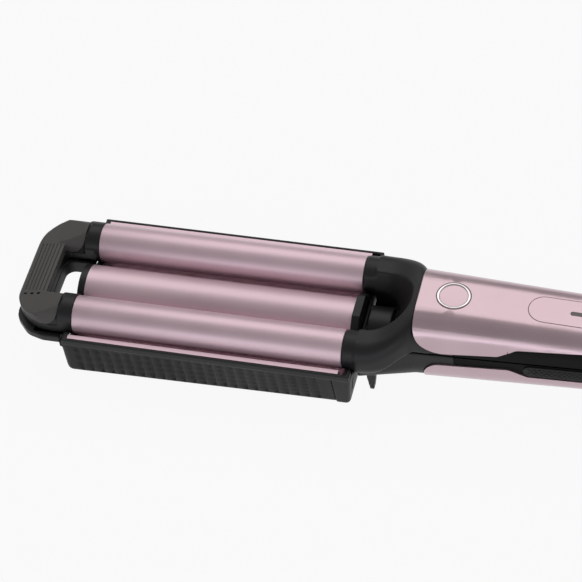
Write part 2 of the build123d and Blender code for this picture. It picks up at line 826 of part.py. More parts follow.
# Side view of the cover: flat on the sleeves, then down to the bar
x_cover_end = x_sleeve_end + cover_lap
crown = sleeve_radius + cover_wall
with BuildPart() as cover_profile:
    with BuildSketch(Plane.XZ) as outline:
        with BuildLine() as line:
            start = (x_cover_end, z_axis + crown)
            shoulder = (x_sleeve_end + cover_slope, z_axis + crown)
            bend = (x_sleeve_end - cover_slope, z_axis + bridge_bar_top + bridge_bend)
            brow = (x_tip + cover_brow, z_axis + bridge_bar_top)
            tip_mid = (x_tip + cover_brow / 4, z_axis + bridge_bar_top - cover_brow * 0.3)
            Line(start, shoulder)
            Bezier(
                shoulder,
                (x_sleeve_end, z_axis + crown),
                (x_sleeve_end, z_axis + bridge_bar_top + cover_hollow),
                bend,
            )
            Line(bend, brow)
            ThreePointArc(brow, tip_mid, (x_tip, z_axis))
            corner_mid = cover_corner * (1 - sqrt(0.5))
            Line((x_tip, z_axis), (x_cover_end - cover_corner, z_axis))
            ThreePointArc(
                (x_cover_end - cover_corner, z_axis),
                (x_cover_end - corner_mid, z_axis + corner_mid),
                (x_cover_end, z_axis + cover_corner),
            )
            Line((x_cover_end, z_axis + cover_corner), start)
        make_face()
    extrude(amount=2 * barrel_spacing, both=True)

with BuildPart() as cover_arms:
    for side in (-1, 1):
        add(rod(x_tip, tip_reach, side * barrel_y, z_axis, sleeve_radius + cover_wall))
    with BuildSketch(Plane.XY.offset(z_axis)) as bar:
        with Locations((x_tip + bridge_bar / 2, 0)):
            Rectangle(bridge_bar, 2 * (barrel_y + sleeve_radius + cover_wall))
    extrude(amount=bridge_bar_top + bridge_bend)

with BuildPart() as tip_bridge_cover:
    add(bridge_plan(z_axis, crown))
    add(cover_profile.part, mode=Mode.INTERSECT)
    add(cover_arms.part, mode=Mode.INTERSECT)
    for sleeve in sleeves:
        add(sleeve, mode=Mode.SUBTRACT)
    # Fine grip grooves across the bar, and three small slots at their near ends
    z_bar = z_axis + bridge_bar_top
    for number in range(6):
        with BuildSketch(Plane.XZ) as cut:
            with Locations((x_tip + bar_groove_start + number * bar_groove_pitch, z_bar + bridge_bend / 2)):
                Rectangle(bar_groove_width, bridge_bend + 2 * bar_groove_depth)
        extrude(amount=bar_groove_half, both=True, mode=Mode.SUBTRACT)
    with BuildSketch(Plane.XY.offset(z_bar - bar_groove_depth)) as slots:
        for number in range(3):
            x_slot = x_tip + bar_groove_start + bar_groove_width + number * bar_slot_pitch
            with Locations((x_slot, -bar_slot_place)):
                Rectangle(bar_slot_length, bar_slot_width)
    extrude(amount=2 * bar_groove_depth + bridge_bend, mode=Mode.SUBTRACT)
    # Blind holes for the two screws from below
    with BuildSketch(Plane.XY.offset(z_axis)) as holes:
        with Locations((screw_x, -barrel_y / 2), (screw_x, barrel_y / 2)):
            Circle(screw_radius)
    extrude(amount=bridge_screw_grip, mode=Mode.SUBTRACT)
tip_bridge_cover.part.label = "tip_bridge_cover"

with BuildPart() as bridge_screws:
    with BuildSketch(Plane.XY.offset(z_bridge_base)) as heads:
        with Locations((screw_x, -barrel_y / 2), (screw_x, barrel_y / 2)):
            Circle(screw_head_radius)
    extrude(amount=screw_head_height)
    with BuildSketch(Plane.XY.offset(z_bridge_base + screw_head_height)) as shanks:
        with Locations((screw_x, -barrel_y / 2), (screw_x, barrel_y / 2)):
            Circle(screw_radius)
    extrude(amount=bridge_base_depth - screw_head_height + bridge_screw_grip - screw_end_room)
bridge_screws.part.label = "bridge_screws"

# ---------------------------------------------------------------- necks
def parting_region(upper_side):
    """Side view of the space over or under the split between the two necks."""
    drop = sleeve_radius + arm_split
    room = 0 if upper_side else socket_room
    level = z_upper if upper_side else z_split
    points = [
        (x_rear - parting_lead, z_axis - drop - room),
        (x_rear + parting_start, z_axis - drop - room),
        (x_handle - parting_lead, level),
        (x_handle + 2 * neck_lap, level),
    ]
    far = huge / 4 if upper_side else -huge / 4
    outer = [(x_handle + 2 * neck_lap, z_axis + far), (x_rear - parting_lead, z_axis + far)]
    return side_region(points + outer, [0, parting_round, parting_round, 0, 0, 0], 0)


socket_half = barrel_y + sleeve_radius
handle_upper_shell_space = upper_region(seam) - handle_body(x_handle - 5, x_end, shell_wall + seam)
handle_lower_shell_space = lower_region(seam) - handle_body(x_handle - 5, x_end, shell_wall + seam)


def socket_sketch(x, narrowing, rise):
    """Section across both of the yoke's arms."""
    with BuildSketch(Plane.YZ.offset(x)) as section:
        with Locations((0, z_axis + rise / 2)):
            height = 2 * sleeve_radius + rise
            RectangleRounded(2 * (socket_half - narrowing), height, sleeve_radius - socket_flat)
    return section.sketch


with BuildPart() as barrel_yoke:
    loft(
        [
            socket_sketch(x_rear + guard_cap_reach + sleeve_room, 0, 0),
            socket_sketch(x_rear + yoke_straight, yoke_start_draw, 0),
            socket_sketch(x_rear + yoke_shoulder, yoke_draw, yoke_rise),
            handle_sketch(x_handle, neck_skin),
        ]
    )
    add(handle_body(x_handle, x_handle + neck_lap, neck_skin))
    for side in (-1, 1):
        add(rod(x_rear, socket_length, side * barrel_y, z_axis, sleeve_radius - collar_step))
    add(parting_region(True), mode=Mode.INTERSECT)
    add(handle_upper_shell_space, mode=Mode.SUBTRACT)
    # U-shaped window between the sockets, its sides flaring upwards
    with BuildSketch(Plane.XY.offset(z_axis)) as window:
        with BuildLine() as outline:
            FilletPolyline(
                (x_rear - window_reach, -window_width / 2),
                (x_rear + window_reach, -window_width / 2),
                (x_rear + window_reach, window_width / 2),
                (x_rear - window_reach, window_width / 2),
                radius=[0, window_round, window_round, 0],
                close=True,
            )
        make_face()
    extrude(amount=2 * handle_top, taper=-window_flare, mode=Mode.SUBTRACT)
    extrude(window.sketch, amount=-2 * sleeve_radius, mode=Mode.SUBTRACT)
    # Hollow tongue, open to the rear for the wires
    add(
        handle_body(x_handle - tongue_wall, x_handle + 2 * neck_lap, shell_wall + tongue_wall)
        - side_box(x_rear, x_handle + 3 * neck_lap, 0, z_upper + tongue_wall),
        mode=Mode.SUBTRACT,
    )
    for side in (-1, 1):
        spigot_radius = barrel_bore - spigot_clearance
        add(rod(x_rear - spigot_length, spigot_length, side * barrel_y, z_axis, spigot_radius))
barrel_yoke.part.label = "barrel_yoke"

z_neck = z_axis - sleeve_radius - socket_room - neck_front_height


def neck_front():
    """Section of the lower neck where it meets the guard's end cap."""
    with BuildSketch(Plane.YZ.offset(x_rear + guard_cap_reach)) as section:
        with Locations((0, z_neck + neck_front_height / 2)):
            RectangleRounded(neck_front_width, neck_front_height, neck_front_height / 2 - seam)
    return section.sketch


screw_places = [x_handle + front_screw_place, x_handle + rear_screw_place]


def underside(x):
    return z_bottom + lean_in(x)


with BuildPart() as lower_neck:
    loft([neck_front(), handle_sketch(x_handle, neck_skin)])
    add(handle_body(x_handle, x_handle + neck_lap, neck_skin))
    add(parting_region(False), mode=Mode.INTERSECT)
    add(handle_lower_shell_space, mode=Mode.SUBTRACT)
    add(
        handle_body(x_handle + tongue_wall, x_handle + 2 * neck_lap, shell_wall + tongue_wall)
        - side_box(x_rear, x_handle + 3 * neck_lap, z_split - tongue_wall, huge),
        mode=Mode.SUBTRACT,
    )
    # Column for the front handle screw
    screw_seat = underside(screw_places[0]) + screw_recess + screw_head_height
    add(post(screw_places[0], 0, screw_seat, z_split - cover_wall_inner / 2, screw_column))
    screw_stop = screw_seat + screw_length
    add(post(screw_places[0], 0, screw_seat, screw_stop, screw_radius), mode=Mode.SUBTRACT)
    # Domed boss that shows in the yoke's window
    add(
        rod(x_rear + boss_start, boss_length, 0, z_axis - boss_drop, boss_radius)
        - side_box(x_rear, x_handle, 0, z_neck + neck_front_height / 2)
    )
    # Stand feet
    with BuildSketch(Plane.XZ) as prong:
        with BuildLine() as outline:
            Polyline(
                (x_rear + foot_place - foot_tip / 2, 0),
                (x_rear + foot_place + foot_tip / 2, 0),
                (x_rear + foot_place + foot_root / 2, foot_height),
                (x_rear + foot_place - foot_root / 2, foot_height),
                close=True,
            )
        make_face()
    extrude(amount=foot_spacing / 2 + foot_width / 2, both=True)
    with BuildSketch(Plane.XZ) as gap:
        with Locations((x_rear + foot_place, z_neck / 2)):
            Rectangle(2 * foot_root, z_neck)
    extrude(amount=foot_spacing / 2 - foot_width / 2, both=True, mode=Mode.SUBTRACT)
lower_neck.part.label = "lower_neck"

# ---------------------------------------------------------------- upper handle
top_plane = Plane(
    origin=(x_handle, 0, z_top),
    x_dir=(cos(radians(handle_taper)), 0, -sin(radians(handle_taper))),
    z_dir=(sin(radians(handle_taper)), 0, cos(radians(handle_taper))),
)
panel_end = handle_length - tail_length - panel_rear_margin
panel_length = panel_end - panel_start
panel_mid = (panel_start + panel_end) / 2
button_places = {
    "power_button": panel_end - power_button_place,
    "plus_button": panel_end - plus_button_place,
    "minus_button": panel_end - minus_button_place,
}

with BuildPart() as upper_handle_shell:
    add(handle_body(x_handle, x_end, 0))
    add(handle_body(x_handle - 5, x_end, shell_wall), mode=Mode.SUBTRACT)
    add(upper_region(0), mode=Mode.INTERSECT)
    # Seats for the emblem disc and the control panel, with the panel's through opening
    with BuildSketch(top_plane) as seat:
        with Locations((emblem_place, 0)):
            Circle(emblem_radius + seam)
    extrude(amount=-emblem_thickness, mode=Mode.SUBTRACT)
    with BuildSketch(top_plane) as seat:
        with Locations((panel_mid, 0)):
            SlotOverall(panel_length + 2 * seam, panel_width + 2 * seam)
    extrude(amount=-panel_thickness, mode=Mode.SUBTRACT)
    with BuildSketch(top_plane) as opening:
        with Locations((panel_mid, 0)):
            SlotOverall(panel_length - 2 * panel_ledge, panel_width - 2 * panel_ledge)
    extrude(amount=-3 * shell_wall, mode=Mode.SUBTRACT)
upper_handle_shell.part.label = "upper_handle_shell"

with BuildPart() as emblem_disc:
    with BuildSketch(top_plane.offset(-emblem_thickness)) as outline:
        with Locations((emblem_place, 0)):
            Circle(emblem_radius)
    extrude(amount=emblem_thickness)
    with BuildSketch(top_plane) as dish:
        with Locations((emblem_place, 0)):
            Circle(emblem_radius - emblem_rim)
    extrude(amount=-emblem_dish, mode=Mode.SUBTRACT)
emblem_disc.part.label = "emblem_disc"

with BuildPart() as control_panel:
    with BuildSketch(top_plane.offset(-panel_thickness)) as outline:
        with Locations((panel_mid, 0)):
            SlotOverall(panel_length, panel_width)
    extrude(amount=panel_thickness)
    with BuildSketch(top_plane) as holes:
        for place in button_places.values():
            with Locations((place, 0)):
                Circle(button_radius + button_clearance)
        with Locations((panel_end - lens_place, 0)):
            SlotOverall(lens_length, lens_width)
    extrude(amount=-panel_thickness, mode=Mode.SUBTRACT)
control_panel.part.label = "control_panel"

with BuildPart() as indicator_lens:
    with BuildSketch(top_plane.offset(-panel_thickness)) as outline:
        with Locations((panel_end - lens_place, 0)):
            SlotOverall(lens_length, lens_width)
    extrude(amount=panel_thickness)
indicator_lens.part.label = "indicator_lens"

board_mid = (button_places["power_button"] + button_places["minus_button"]) / 2
board_length = button_places["power_button"] - button_places["minus_button"] + 2 * board_overhang
board_drop = panel_thickness + button_flange_height + button_travel + switch_height
for name, place in button_places.items():
    with BuildPart() as button:
        with BuildSketch(top_plane.offset(-panel_thickness)) as outline:
            with Locations((place, 0)):
                Circle(button_radius)
        extrude(amount=panel_thickness + button_proud)
        fillet(button.faces().sort_by(Axis.Z)[-1].edges(), button_edge)
        with BuildSketch(top_plane.offset(-panel_thickness)) as flange:
            with Locations((place, 0)):
                Circle(button_radius + button_flange)
        extrude(amount=-button_flange_height)
        with BuildSketch(top_plane.offset(-panel_thickness - button_flange_height)) as stem:
            with Locations((place, 0)):
                Circle(button_stem_radius)
        extrude(amount=switch_gap - switch_height)
    button.part.label = name
    export_step(button.part, "parts/" + name + ".step")

with BuildPart() as circuit_board:
    with BuildSketch(top_plane.offset(-board_drop)) as outline:
        with Locations((board_mid, 0)):
            Rectangle(board_length, board_width)
    extrude(amount=-board_thickness)
circuit_board.part.label = "circuit_board"

x_covers = x_handle + neck_lap + seam
hinge_ear_half = knuckle_width / 2 + knuckle_gap + ear_width
pin_bore_half = hinge_ear_half + ear_width

# Upper inner cover: channel that closes the upper arm's underside
with BuildPart() as upper_inner_cover:
    add(handle_body(x_covers, x_tail, neck_skin))
    add(handle_upper_shell_space, mode=Mode.SUBTRACT)
    add(side_box(x_covers - 1, x_end, z_upper, z_axis + upper_edge_rear + cover_lap_up), mode=Mode.INTERSECT)
    add(
        handle_body(x_covers - 1, x_tail, shell_wall + cover_wall_inner)
        - side_box(x_covers - 5, x_end, 0, z_upper + cover_wall_inner),
        mode=Mode.SUBTRACT,
    )
    # Rear end leans like the shell's, and its heel is relieved for the swing
    rear_end = [
        (shell_rear(z_upper, seam), 0),
        (shell_rear(z_upper, seam), z_upper),
        (shell_rear(z_top, seam), z_top),
        (x_end, z_top),
        (x_end, 0),
    ]
    add(side_region(rear_end, 0, 0), mode=Mode.SUBTRACT)
    heel = [
        (x_hinge + pin_radius, 0),
        (x_hinge + pin_radius, z_upper),
        (x_tail, z_upper + (x_tail - x_hinge) * tan(radians(open_angle + swing_slack))),
        (x_tail, 0),
    ]
    add(side_region(heel, 0, 0), mode=Mode.SUBTRACT)
    # Posts under the circuit board
    with BuildSketch(Plane.XY.offset(z_upper + cover_wall_inner)) as posts:
        for along in (-1, 1):
            for across in (-1, 1):
                x_post = x_handle + board_mid + along * (board_length / 2 - board_post_inset)
                with Locations((x_post, across * board_post_spacing / 2)):
                    Circle(board_post_radius)
    extrude(amount=handle_top)
    with BuildSketch(top_plane.offset(-board_drop - board_thickness)) as above_posts:
        with Locations((board_mid, 0)):
            Rectangle(2 * board_length, board_width)
    extrude(amount=3 * handle_top, mode=Mode.SUBTRACT)
    # Spring cup and central hinge knuckle
    with BuildSketch(Plane.XY.offset(z_upper)) as cup:
        with Locations((x_hinge - spring_ahead, 0)):
            Circle(spring_radius + spring_cup_wall)
    extrude(amount=spring_cup + spring_cup_floor)
    with BuildSketch(Plane.XY.offset(z_upper)) as bore:
        with Locations((x_hinge - spring_ahead, 0)):
            Circle(spring_radius + spring_room)
    extrude(amount=spring_cup, mode=Mode.SUBTRACT)
    for side in (-1, 1):
        ear_start = side * (knuckle_width / 2 + knuckle_gap + ear_width / 2) - ear_width / 2 - knuckle_gap
        add(
            cross_rod(
                x_hinge, z_hinge, ear_start, ear_width + 2 * knuckle_gap, knuckle_radius + knuckle_room
            ),
            mode=Mode.SUBTRACT,
        )
    add(cross_rod(x_hinge, z_hinge, -knuckle_width / 2, knuckle_width, knuckle_radius))
    add(
        cross_rod(x_hinge, z_hinge, -pin_bore_half, 2 * pin_bore_half, pin_radius + pin_clearance),
        mode=Mode.SUBTRACT,
    )
upper_inner_cover.part.label = "upper_inner_cover"

# ---------------------------------------------------------------- lower handle
with BuildPart() as lower_handle_shell:
    add(handle_body(x_handle, x_end, 0))
    add(handle_body(x_handle - 5, x_end, shell_wall), mode=Mode.SUBTRACT)
    add(lower_region(0), mode=Mode.INTERSECT)
    # Screw holes along the underside
    for x in screw_places:
        add(post(x, 0, 0, underside(x) + 2 * shell_wall, screw_head_radius + seam), mode=Mode.SUBTRACT)
    # Slot for the lock slider
    with BuildSketch(Plane.XY) as slot:
        with Locations((x_hinge - lock_place + lock_travel / 2, 0)):
            SlotOverall(lock_stem + lock_travel + 2 * lock_clearance, lock_stem / 2 + 2 * lock_clearance)
    extrude(amount=underside(x_hinge) + shell_wall, mode=Mode.SUBTRACT)
lower_handle_shell.part.label = "lower_handle_shell"

# Ribbed rubber pads in the lower arm's sides
z_grip = z_split - grip_drop - grip_height / 2
with BuildPart() as grip_outline:
    with BuildSketch(Plane.XZ) as outline:
        with Locations((x_handle + grip_start + grip_length / 2, z_grip)):
            SlotOverall(grip_length, grip_height)
    extrude(amount=huge / 4, both=True)
grip_floor = handle_body(x_handle - 5, x_end, neck_skin + grip_depth)
for name, side in (("left", 1), ("right", -1)):
    with BuildPart() as grip:
        add(handle_body(x_handle, x_end, 0) - grip_floor)
        add(grip_outline.part, mode=Mode.INTERSECT)
        with BuildSketch(Plane.XY) as half_plan:
            with Locations((x_handle + handle_length / 2, side * handle_front_width / 2)):
                Rectangle(handle_length, handle_front_width)
        extrude(amount=2 * barrel_height, mode=Mode.INTERSECT)
    grip.part.label = name + "_grip"
    export_step(grip.part, "parts/" + name + "_grip.step")

with BuildPart() as lower_inner_cover:
    add(handle_body(x_covers, x_tail, neck_skin))
    add(handle_lower_shell_space, mode=Mode.SUBTRACT)
    add(side_box(x_covers - 1, x_end, z_axis + lower_edge_rear - cover_lap_up, z_split), mode=Mode.INTERSECT)
    add(
        handle_body(x_covers - 1, x_tail + 1, shell_wall + cover_wall_inner)
        - side_box(x_covers - 5, x_end, z_split - cover_wall_inner, huge),
        mode=Mode.SUBTRACT,
    )
    # Screw bosses, spring cup, hinge ears
    screw_seat = underside(screw_places[1]) + screw_recess + screw_head_height
    add(post(screw_places[1], 0, screw_seat, z_split - cover_wall_inner / 2, screw_column))
    screw_stop = screw_seat + screw_length
    add(post(screw_places[1], 0, screw_seat, screw_stop, screw_radius), mode=Mode.SUBTRACT)
    with BuildSketch(Plane.XY.offset(z_split)) as cup:
        with Locations((x_hinge - spring_ahead, 0)):
            Circle(spring_radius + spring_cup_wall)
    extrude(amount=-spring_cup - spring_cup_floor)
    with BuildSketch(Plane.XY.offset(z_split)) as bore:
        with Locations((x_hinge - spring_ahead, 0)):
            Circle(spring_radius + spring_room)
    extrude(amount=-spring_cup, mode=Mode.SUBTRACT)
    add(
        cross_rod(
            x_hinge, z_hinge, -knuckle_width / 2 - knuckle_gap, knuckle_width + 2 * knuckle_gap,
            knuckle_radius + knuckle_room,
        ),
        mode=Mode.SUBTRACT,
    )
    for side in (-1, 1):
        ear_start = side * (knuckle_width / 2 + knuckle_gap + ear_width / 2) - ear_width / 2
        add(cross_rod(x_hinge, z_hinge, ear_start, ear_width, knuckle_radius))
    add(
        cross_rod(x_hinge, z_hinge, -pin_bore_half, 2 * pin_bore_half, pin_radius + pin_clearance),
        mode=Mode.SUBTRACT,
    )
    add(grip_outline.part - grip_floor, mode=Mode.SUBTRACT)
lower_inner_cover.part.label = "lower_inner_cover"

with BuildPart() as handle_screws:
    for x in screw_places:
        z_head = underside(x) + screw_recess
        add(post(x, 0, z_head, z_head + screw_head_height, screw_head_radius))
        z_shank = z_head + screw_head_height
        add(post(x, 0, z_shank, z_shank + screw_length - 2 * screw_end_room, screw_radius))
handle_screws.part.label = "handle_screws"

# ---------------------------------------------------------------- hinge, spring, lock
with BuildPart() as hinge_pin:
    add(cross_rod(x_hinge, z_hinge, -hinge_ear_half, 2 * hinge_ear_half, pin_radius))
hinge_pin.part.label = "hinge_pin"

spring_height = 2 * spring_cup + arm_gap
spring_pitch = (spring_height - 2 * spring_wire) / spring_turns
with BuildPart() as hinge_spring:
    with BuildLine() as path:
        coil = Helix(spring_pitch, spring_pitch * spring_turns, spring_radius - spring_wire)
    with BuildSketch(Plane(origin=coil @ 0, z_dir=coil % 0)) as wire:
        RegularPolygon(spring_wire, 6)
    sweep(is_frenet=True)
hinge_spring_part = hinge_spring.part.moved(
    Location((x_hinge - spring_ahead, 0, z_split - spring_cup + spring_wire))
)
hinge_spring_part.label = "hinge_spring"

bottom_plane = Plane(
    origin=(x_hinge - lock_place, 0, underside(x_hinge - lock_place)),
    x_dir=(cos(radians(handle_taper)), 0, sin(radians(handle_taper))),
    z_dir=(sin(radians(handle_taper)), 0, -cos(radians(handle_taper))),
)
with BuildPart() as lock_slider:
    with BuildSketch(bottom_plane.offset(seam)) as thumb:
        SlotOverall(lock_length, lock_width)
    extrude(amount=lock_height)
    with BuildSketch(bottom_plane.offset(seam)) as stem:
        SlotOverall(lock_stem, lock_stem / 2)
    extrude(amount=-shell_wall - 2 * seam)
    with BuildSketch(bottom_plane.offset(-shell_wall - seam)) as catch:
        RectangleRounded(lock_length - 2 * catch_inset, lock_width - 2 * catch_inset, catch_inset)
    extrude(amount=-catch_height)
lock_slider.part.label = "lock_slider"

# ---------------------------------------------------------------- tail and cord gland
z_gland = z_axis - gland_drop
x_collar_face = x_end - tail_end_wall
with BuildPart() as tail_housing:
    add(handle_body(x_tail + seam, x_end, 0))
    fillet(tail_housing.faces().sort_by(Axis.X)[-1].edges(), tail_corner)
    add(handle_body(x_tail - 1, x_collar_face, shell_wall + tail_skin), mode=Mode.SUBTRACT)
    # Collar that the gland turns in
    collar_length = collar_reach - tail_end_wall / 2
    add(rod(x_end - collar_reach, collar_length, 0, z_gland, gland_flange_radius + collar_wall))
    add(
        rod(x_tail, x_collar_face - x_tail, 0, z_gland, gland_flange_radius + gland_clearance),
        mode=Mode.SUBTRACT,
    )
    add(rod(x_tail, 2 * tail_length, 0, z_gland, gland_neck_radius + gland_clearance), mode=Mode.SUBTRACT)
tail_housing.part.label = "tail_housing"

with BuildPart() as swivel_gland:
    with BuildSketch(Plane.XZ) as half:
        with BuildLine() as outline:
            x_in, x_out = x_collar_face, x_end + gland_end_gap
            x_tip_end = x_end + gland_length
            Polyline(
                (x_in - gland_flange, z_gland + gland_bore),
                (x_in - gland_flange, z_gland + gland_flange_radius),
                (x_in, z_gland + gland_flange_radius),
                (x_in, z_gland + gland_neck_radius),
                (x_out, z_gland + gland_neck_radius),
                (x_out, z_gland + gland_radius),
                (x_tip_end - gland_chamfer, z_gland + gland_radius - gland_draw),
                (x_tip_end, z_gland + gland_radius - gland_draw - gland_chamfer),
                (x_tip_end, z_gland + gland_bore),
                close=True,
            )
        make_face()
    revolve(axis=Axis((x_end, 0, z_gland), (1, 0, 0)))
swivel_gland.part.label = "swivel_gland"

# ---------------------------------------------------------------- write every piece
finished = [
    wave_plate.part,
    plate_front_cap.part,
    plate_rear_cap.part,
    plate_frame.part,
    heat_guard.part,
    guard_end_cap.part,
    plate_heater_saddle.part,
    plate_heater.part,
    heater_clamp.part,
    tip_bridge_frame.part,
    tip_bridge_cover.part,
    bridge_screws.part,
    barrel_yoke.part,
    lower_neck.part,
    upper_handle_shell.part,
    emblem_disc.part,
    control_panel.part,
    indicator_lens.part,
    circuit_board.part,
    upper_inner_cover.part,
    lower_handle_shell.part,
    lower_inner_cover.part,
    handle_screws.part,
    hinge_pin.part,
    hinge_spring_part,
    lock_slider.part,
    tail_housing.part,
    swivel_gland.part,
]
for piece in finished:
    export_step(piece, "parts/" + piece.label + ".step")
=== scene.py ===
import json
from math import atan2, cos, pi, radians, sin, sqrt, tan

import bmesh
import bpy
from mathutils import Euler, Matrix, Vector

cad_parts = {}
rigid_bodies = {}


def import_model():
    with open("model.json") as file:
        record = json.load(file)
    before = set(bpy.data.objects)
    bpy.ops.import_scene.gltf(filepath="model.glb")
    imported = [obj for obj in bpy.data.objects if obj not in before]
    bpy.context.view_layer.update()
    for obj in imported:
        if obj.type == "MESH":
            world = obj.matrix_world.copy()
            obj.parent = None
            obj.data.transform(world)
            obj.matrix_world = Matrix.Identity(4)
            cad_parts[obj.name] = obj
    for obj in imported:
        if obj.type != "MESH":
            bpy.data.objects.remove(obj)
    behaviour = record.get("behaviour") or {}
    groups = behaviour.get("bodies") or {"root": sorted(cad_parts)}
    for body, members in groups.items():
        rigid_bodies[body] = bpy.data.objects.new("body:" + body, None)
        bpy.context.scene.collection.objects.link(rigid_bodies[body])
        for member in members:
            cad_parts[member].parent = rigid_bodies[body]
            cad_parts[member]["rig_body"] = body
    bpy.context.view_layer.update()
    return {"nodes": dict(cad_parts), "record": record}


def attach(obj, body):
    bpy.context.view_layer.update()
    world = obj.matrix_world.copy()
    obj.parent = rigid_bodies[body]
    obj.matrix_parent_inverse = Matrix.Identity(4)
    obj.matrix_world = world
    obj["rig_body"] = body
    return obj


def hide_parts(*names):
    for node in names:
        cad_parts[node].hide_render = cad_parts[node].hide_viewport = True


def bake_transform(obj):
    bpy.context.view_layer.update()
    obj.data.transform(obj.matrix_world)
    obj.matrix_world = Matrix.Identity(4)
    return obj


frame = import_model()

# A hair waver: two heated barrels close on a wave plate. The tool lies along X, tip at -X,
# and stands on its heat guard. Lengths are in millimetres down to the floor, light and camera.
MM = 0.001
LENGTHWISE, ACROSS, UP = Vector((1, 0, 0)), Vector((0, 1, 0)), Vector((0, 0, 1))
WORLD_AXES = (LENGTHWISE, ACROSS, UP)

# Stations along the tool: tip, both ends of the barrels, front of the handle, end of the tail
X_TIP = -179.75
X_BARREL = X_TIP + 32.2
X_REAR = X_BARREL + 135.0
X_HANDLE = X_REAR + 32.3
X_END = X_HANDLE + 150.0

# Barrels
Z_AXIS = 30.0
BARREL_Y = 24.0
BARREL_R = 9.5
BARREL_BORE = 7.5

# Wave plate: a ridge between two troughs that run round the barrels
PLATE_X0 = X_BARREL - 1.0
PLATE_X1 = X_REAR - 0.5
TROUGH_R = 12.7
RIDGE_R = 13.5
PLATE_HALF = 39.0
PLATE_T = 1.5
LIP_Z = 29.0

# Handle: its top and bottom slope towards the tail, and its sides taper, all by the same angle
SLOPE = radians(2.2)
HANDLE_TOP = 51.2
HANDLE_BOTTOM = 6.4
HANDLE_HALF = 22.5
TOP_ALONG = Vector((cos(SLOPE), 0, -sin(SLOPE)))
TOP_UP = Vector((sin(SLOPE), 0, cos(SLOPE)))
TOP_AXES = (TOP_ALONG, ACROSS, TOP_UP)
BOTTOM_AXES = (Vector((cos(SLOPE), 0, sin(SLOPE))), ACROSS, Vector((-sin(SLOPE), 0, cos(SLOPE))))
HINGE_X = X_END - 23.0
HINGE_Z = 30.55

# Fittings of the handle; places on its top are measured from its front
EMBLEM_AT = 16.7
EMBLEM_R = 8.2
PANEL_END = 127.0
BUTTON_AT = {"power_button": PANEL_END - 12, "plus_button": PANEL_END - 26, "minus_button": PANEL_END - 38}
GRIP_X0 = X_HANDLE + 53.0
GRIP_X1 = X_HANDLE + 119.0
GRIP_Z = 25.9
LOCK_X = HINGE_X - 34.0

# Screws: the bridge's two stand across its bar, the handle's two stand along its underside
BRIDGE_BASE = 25.8
BRIDGE_SCREW_X = X_TIP + 7.3
BRIDGE_SCREW_Y = 12.0
HANDLE_SCREWS_AT = (12.0, 66.0)
HANDLE_SCREW_SINK = 1.0


# ------------------------------------------------------------------ colours and materials
def colour(code):
    """sRGB hex to the linear colour that shaders take."""
    parts = [int(code[i:i + 2], 16) / 255 for i in (1, 3, 5)]
    return [c / 12.92 if c < 0.04045 else ((c + 0.055) / 1.055) ** 2.4 for c in parts] + [1.0]


def add_node(tree, kind, settings=None, **links):
    """Adds one node with its settings; each link is socket_name=(node, output)."""
    node = tree.nodes.new("ShaderNode" + kind)
    for key, value in (settings or {}).items():
        if key in node.inputs:
            node.inputs[key].default_value = value
        else:
            setattr(node, key, value)
    for key, (source, output) in links.items():
        tree.links.new(source.outputs[output], node.inputs[key.replace("_", " ")])
    return node


def material(name, shader):
    """Material with a Principled shader set to the given values; returns it, its tree and shader."""
    mat = bpy.data.materials.new(name)
    mat.use_nodes = True
    tree = mat.node_tree
    tree.nodes.clear()
    out = add_node(tree, "OutputMaterial")
    bsdf = add_node(tree, "BsdfPrincipled", shader)
    tree.links.new(bsdf.outputs["BSDF"], out.inputs["Surface"])
    return mat, tree, bsdf


DRIFT_SCALE = 45.0  # slow changes of tone, about 20 mm across
DRIFT_LOW, DRIFT_HIGH = 0.3, 0.7  # the part of the noise's range that is used


def grain(tree, bsdf, size_mm, height_mm, rough, spread, tints):
    """Moulded or sprayed grain: bumps of a real size, with roughness and tint that drift slowly."""
    place = add_node(tree, "TexCoord")
    fine = add_node(tree, "TexNoise", {"Scale": 1000 / size_mm, "Detail": 2.0, "Roughness": 0.55},
                    Vector=(place, "Object"))
    bump = add_node(tree, "Bump", {"Strength": 1.0, "Distance": height_mm * MM}, Height=(fine, "Fac"))
    tree.links.new(bump.outputs["Normal"], bsdf.inputs["Normal"])
    drift = add_node(tree, "TexNoise", {"Scale": DRIFT_SCALE, "Detail": 3.0}, Vector=(place, "Object"))
    levels = add_node(tree, "MapRange", {"From Min": DRIFT_LOW, "From Max": DRIFT_HIGH,
                                         "To Min": rough - spread, "To Max": rough + spread},
                      Value=(drift, "Fac"))
    tree.links.new(levels.outputs["Result"], bsdf.inputs["Roughness"])
    ramp = add_node(tree, "ValToRGB", None, Fac=(drift, "Fac"))
    for stop, place_on_ramp, tint in zip(ramp.color_ramp.elements, (DRIFT_LOW, DRIFT_HIGH), tints):
        stop.position = place_on_ramp
        stop.color = colour(tint)
    tree.links.new(ramp.outputs["Color"], bsdf.inputs["Base Color"])


def finish(name, shader, size_mm, height_mm, rough, tints, spread=0.04):
    """One finish: its shader's values, then its grain's size, height, roughness and two tints."""
    mat, tree, bsdf = material(name, shader)
    grain(tree, bsdf, size_mm, height_mm, rough, spread, tints)
    return mat


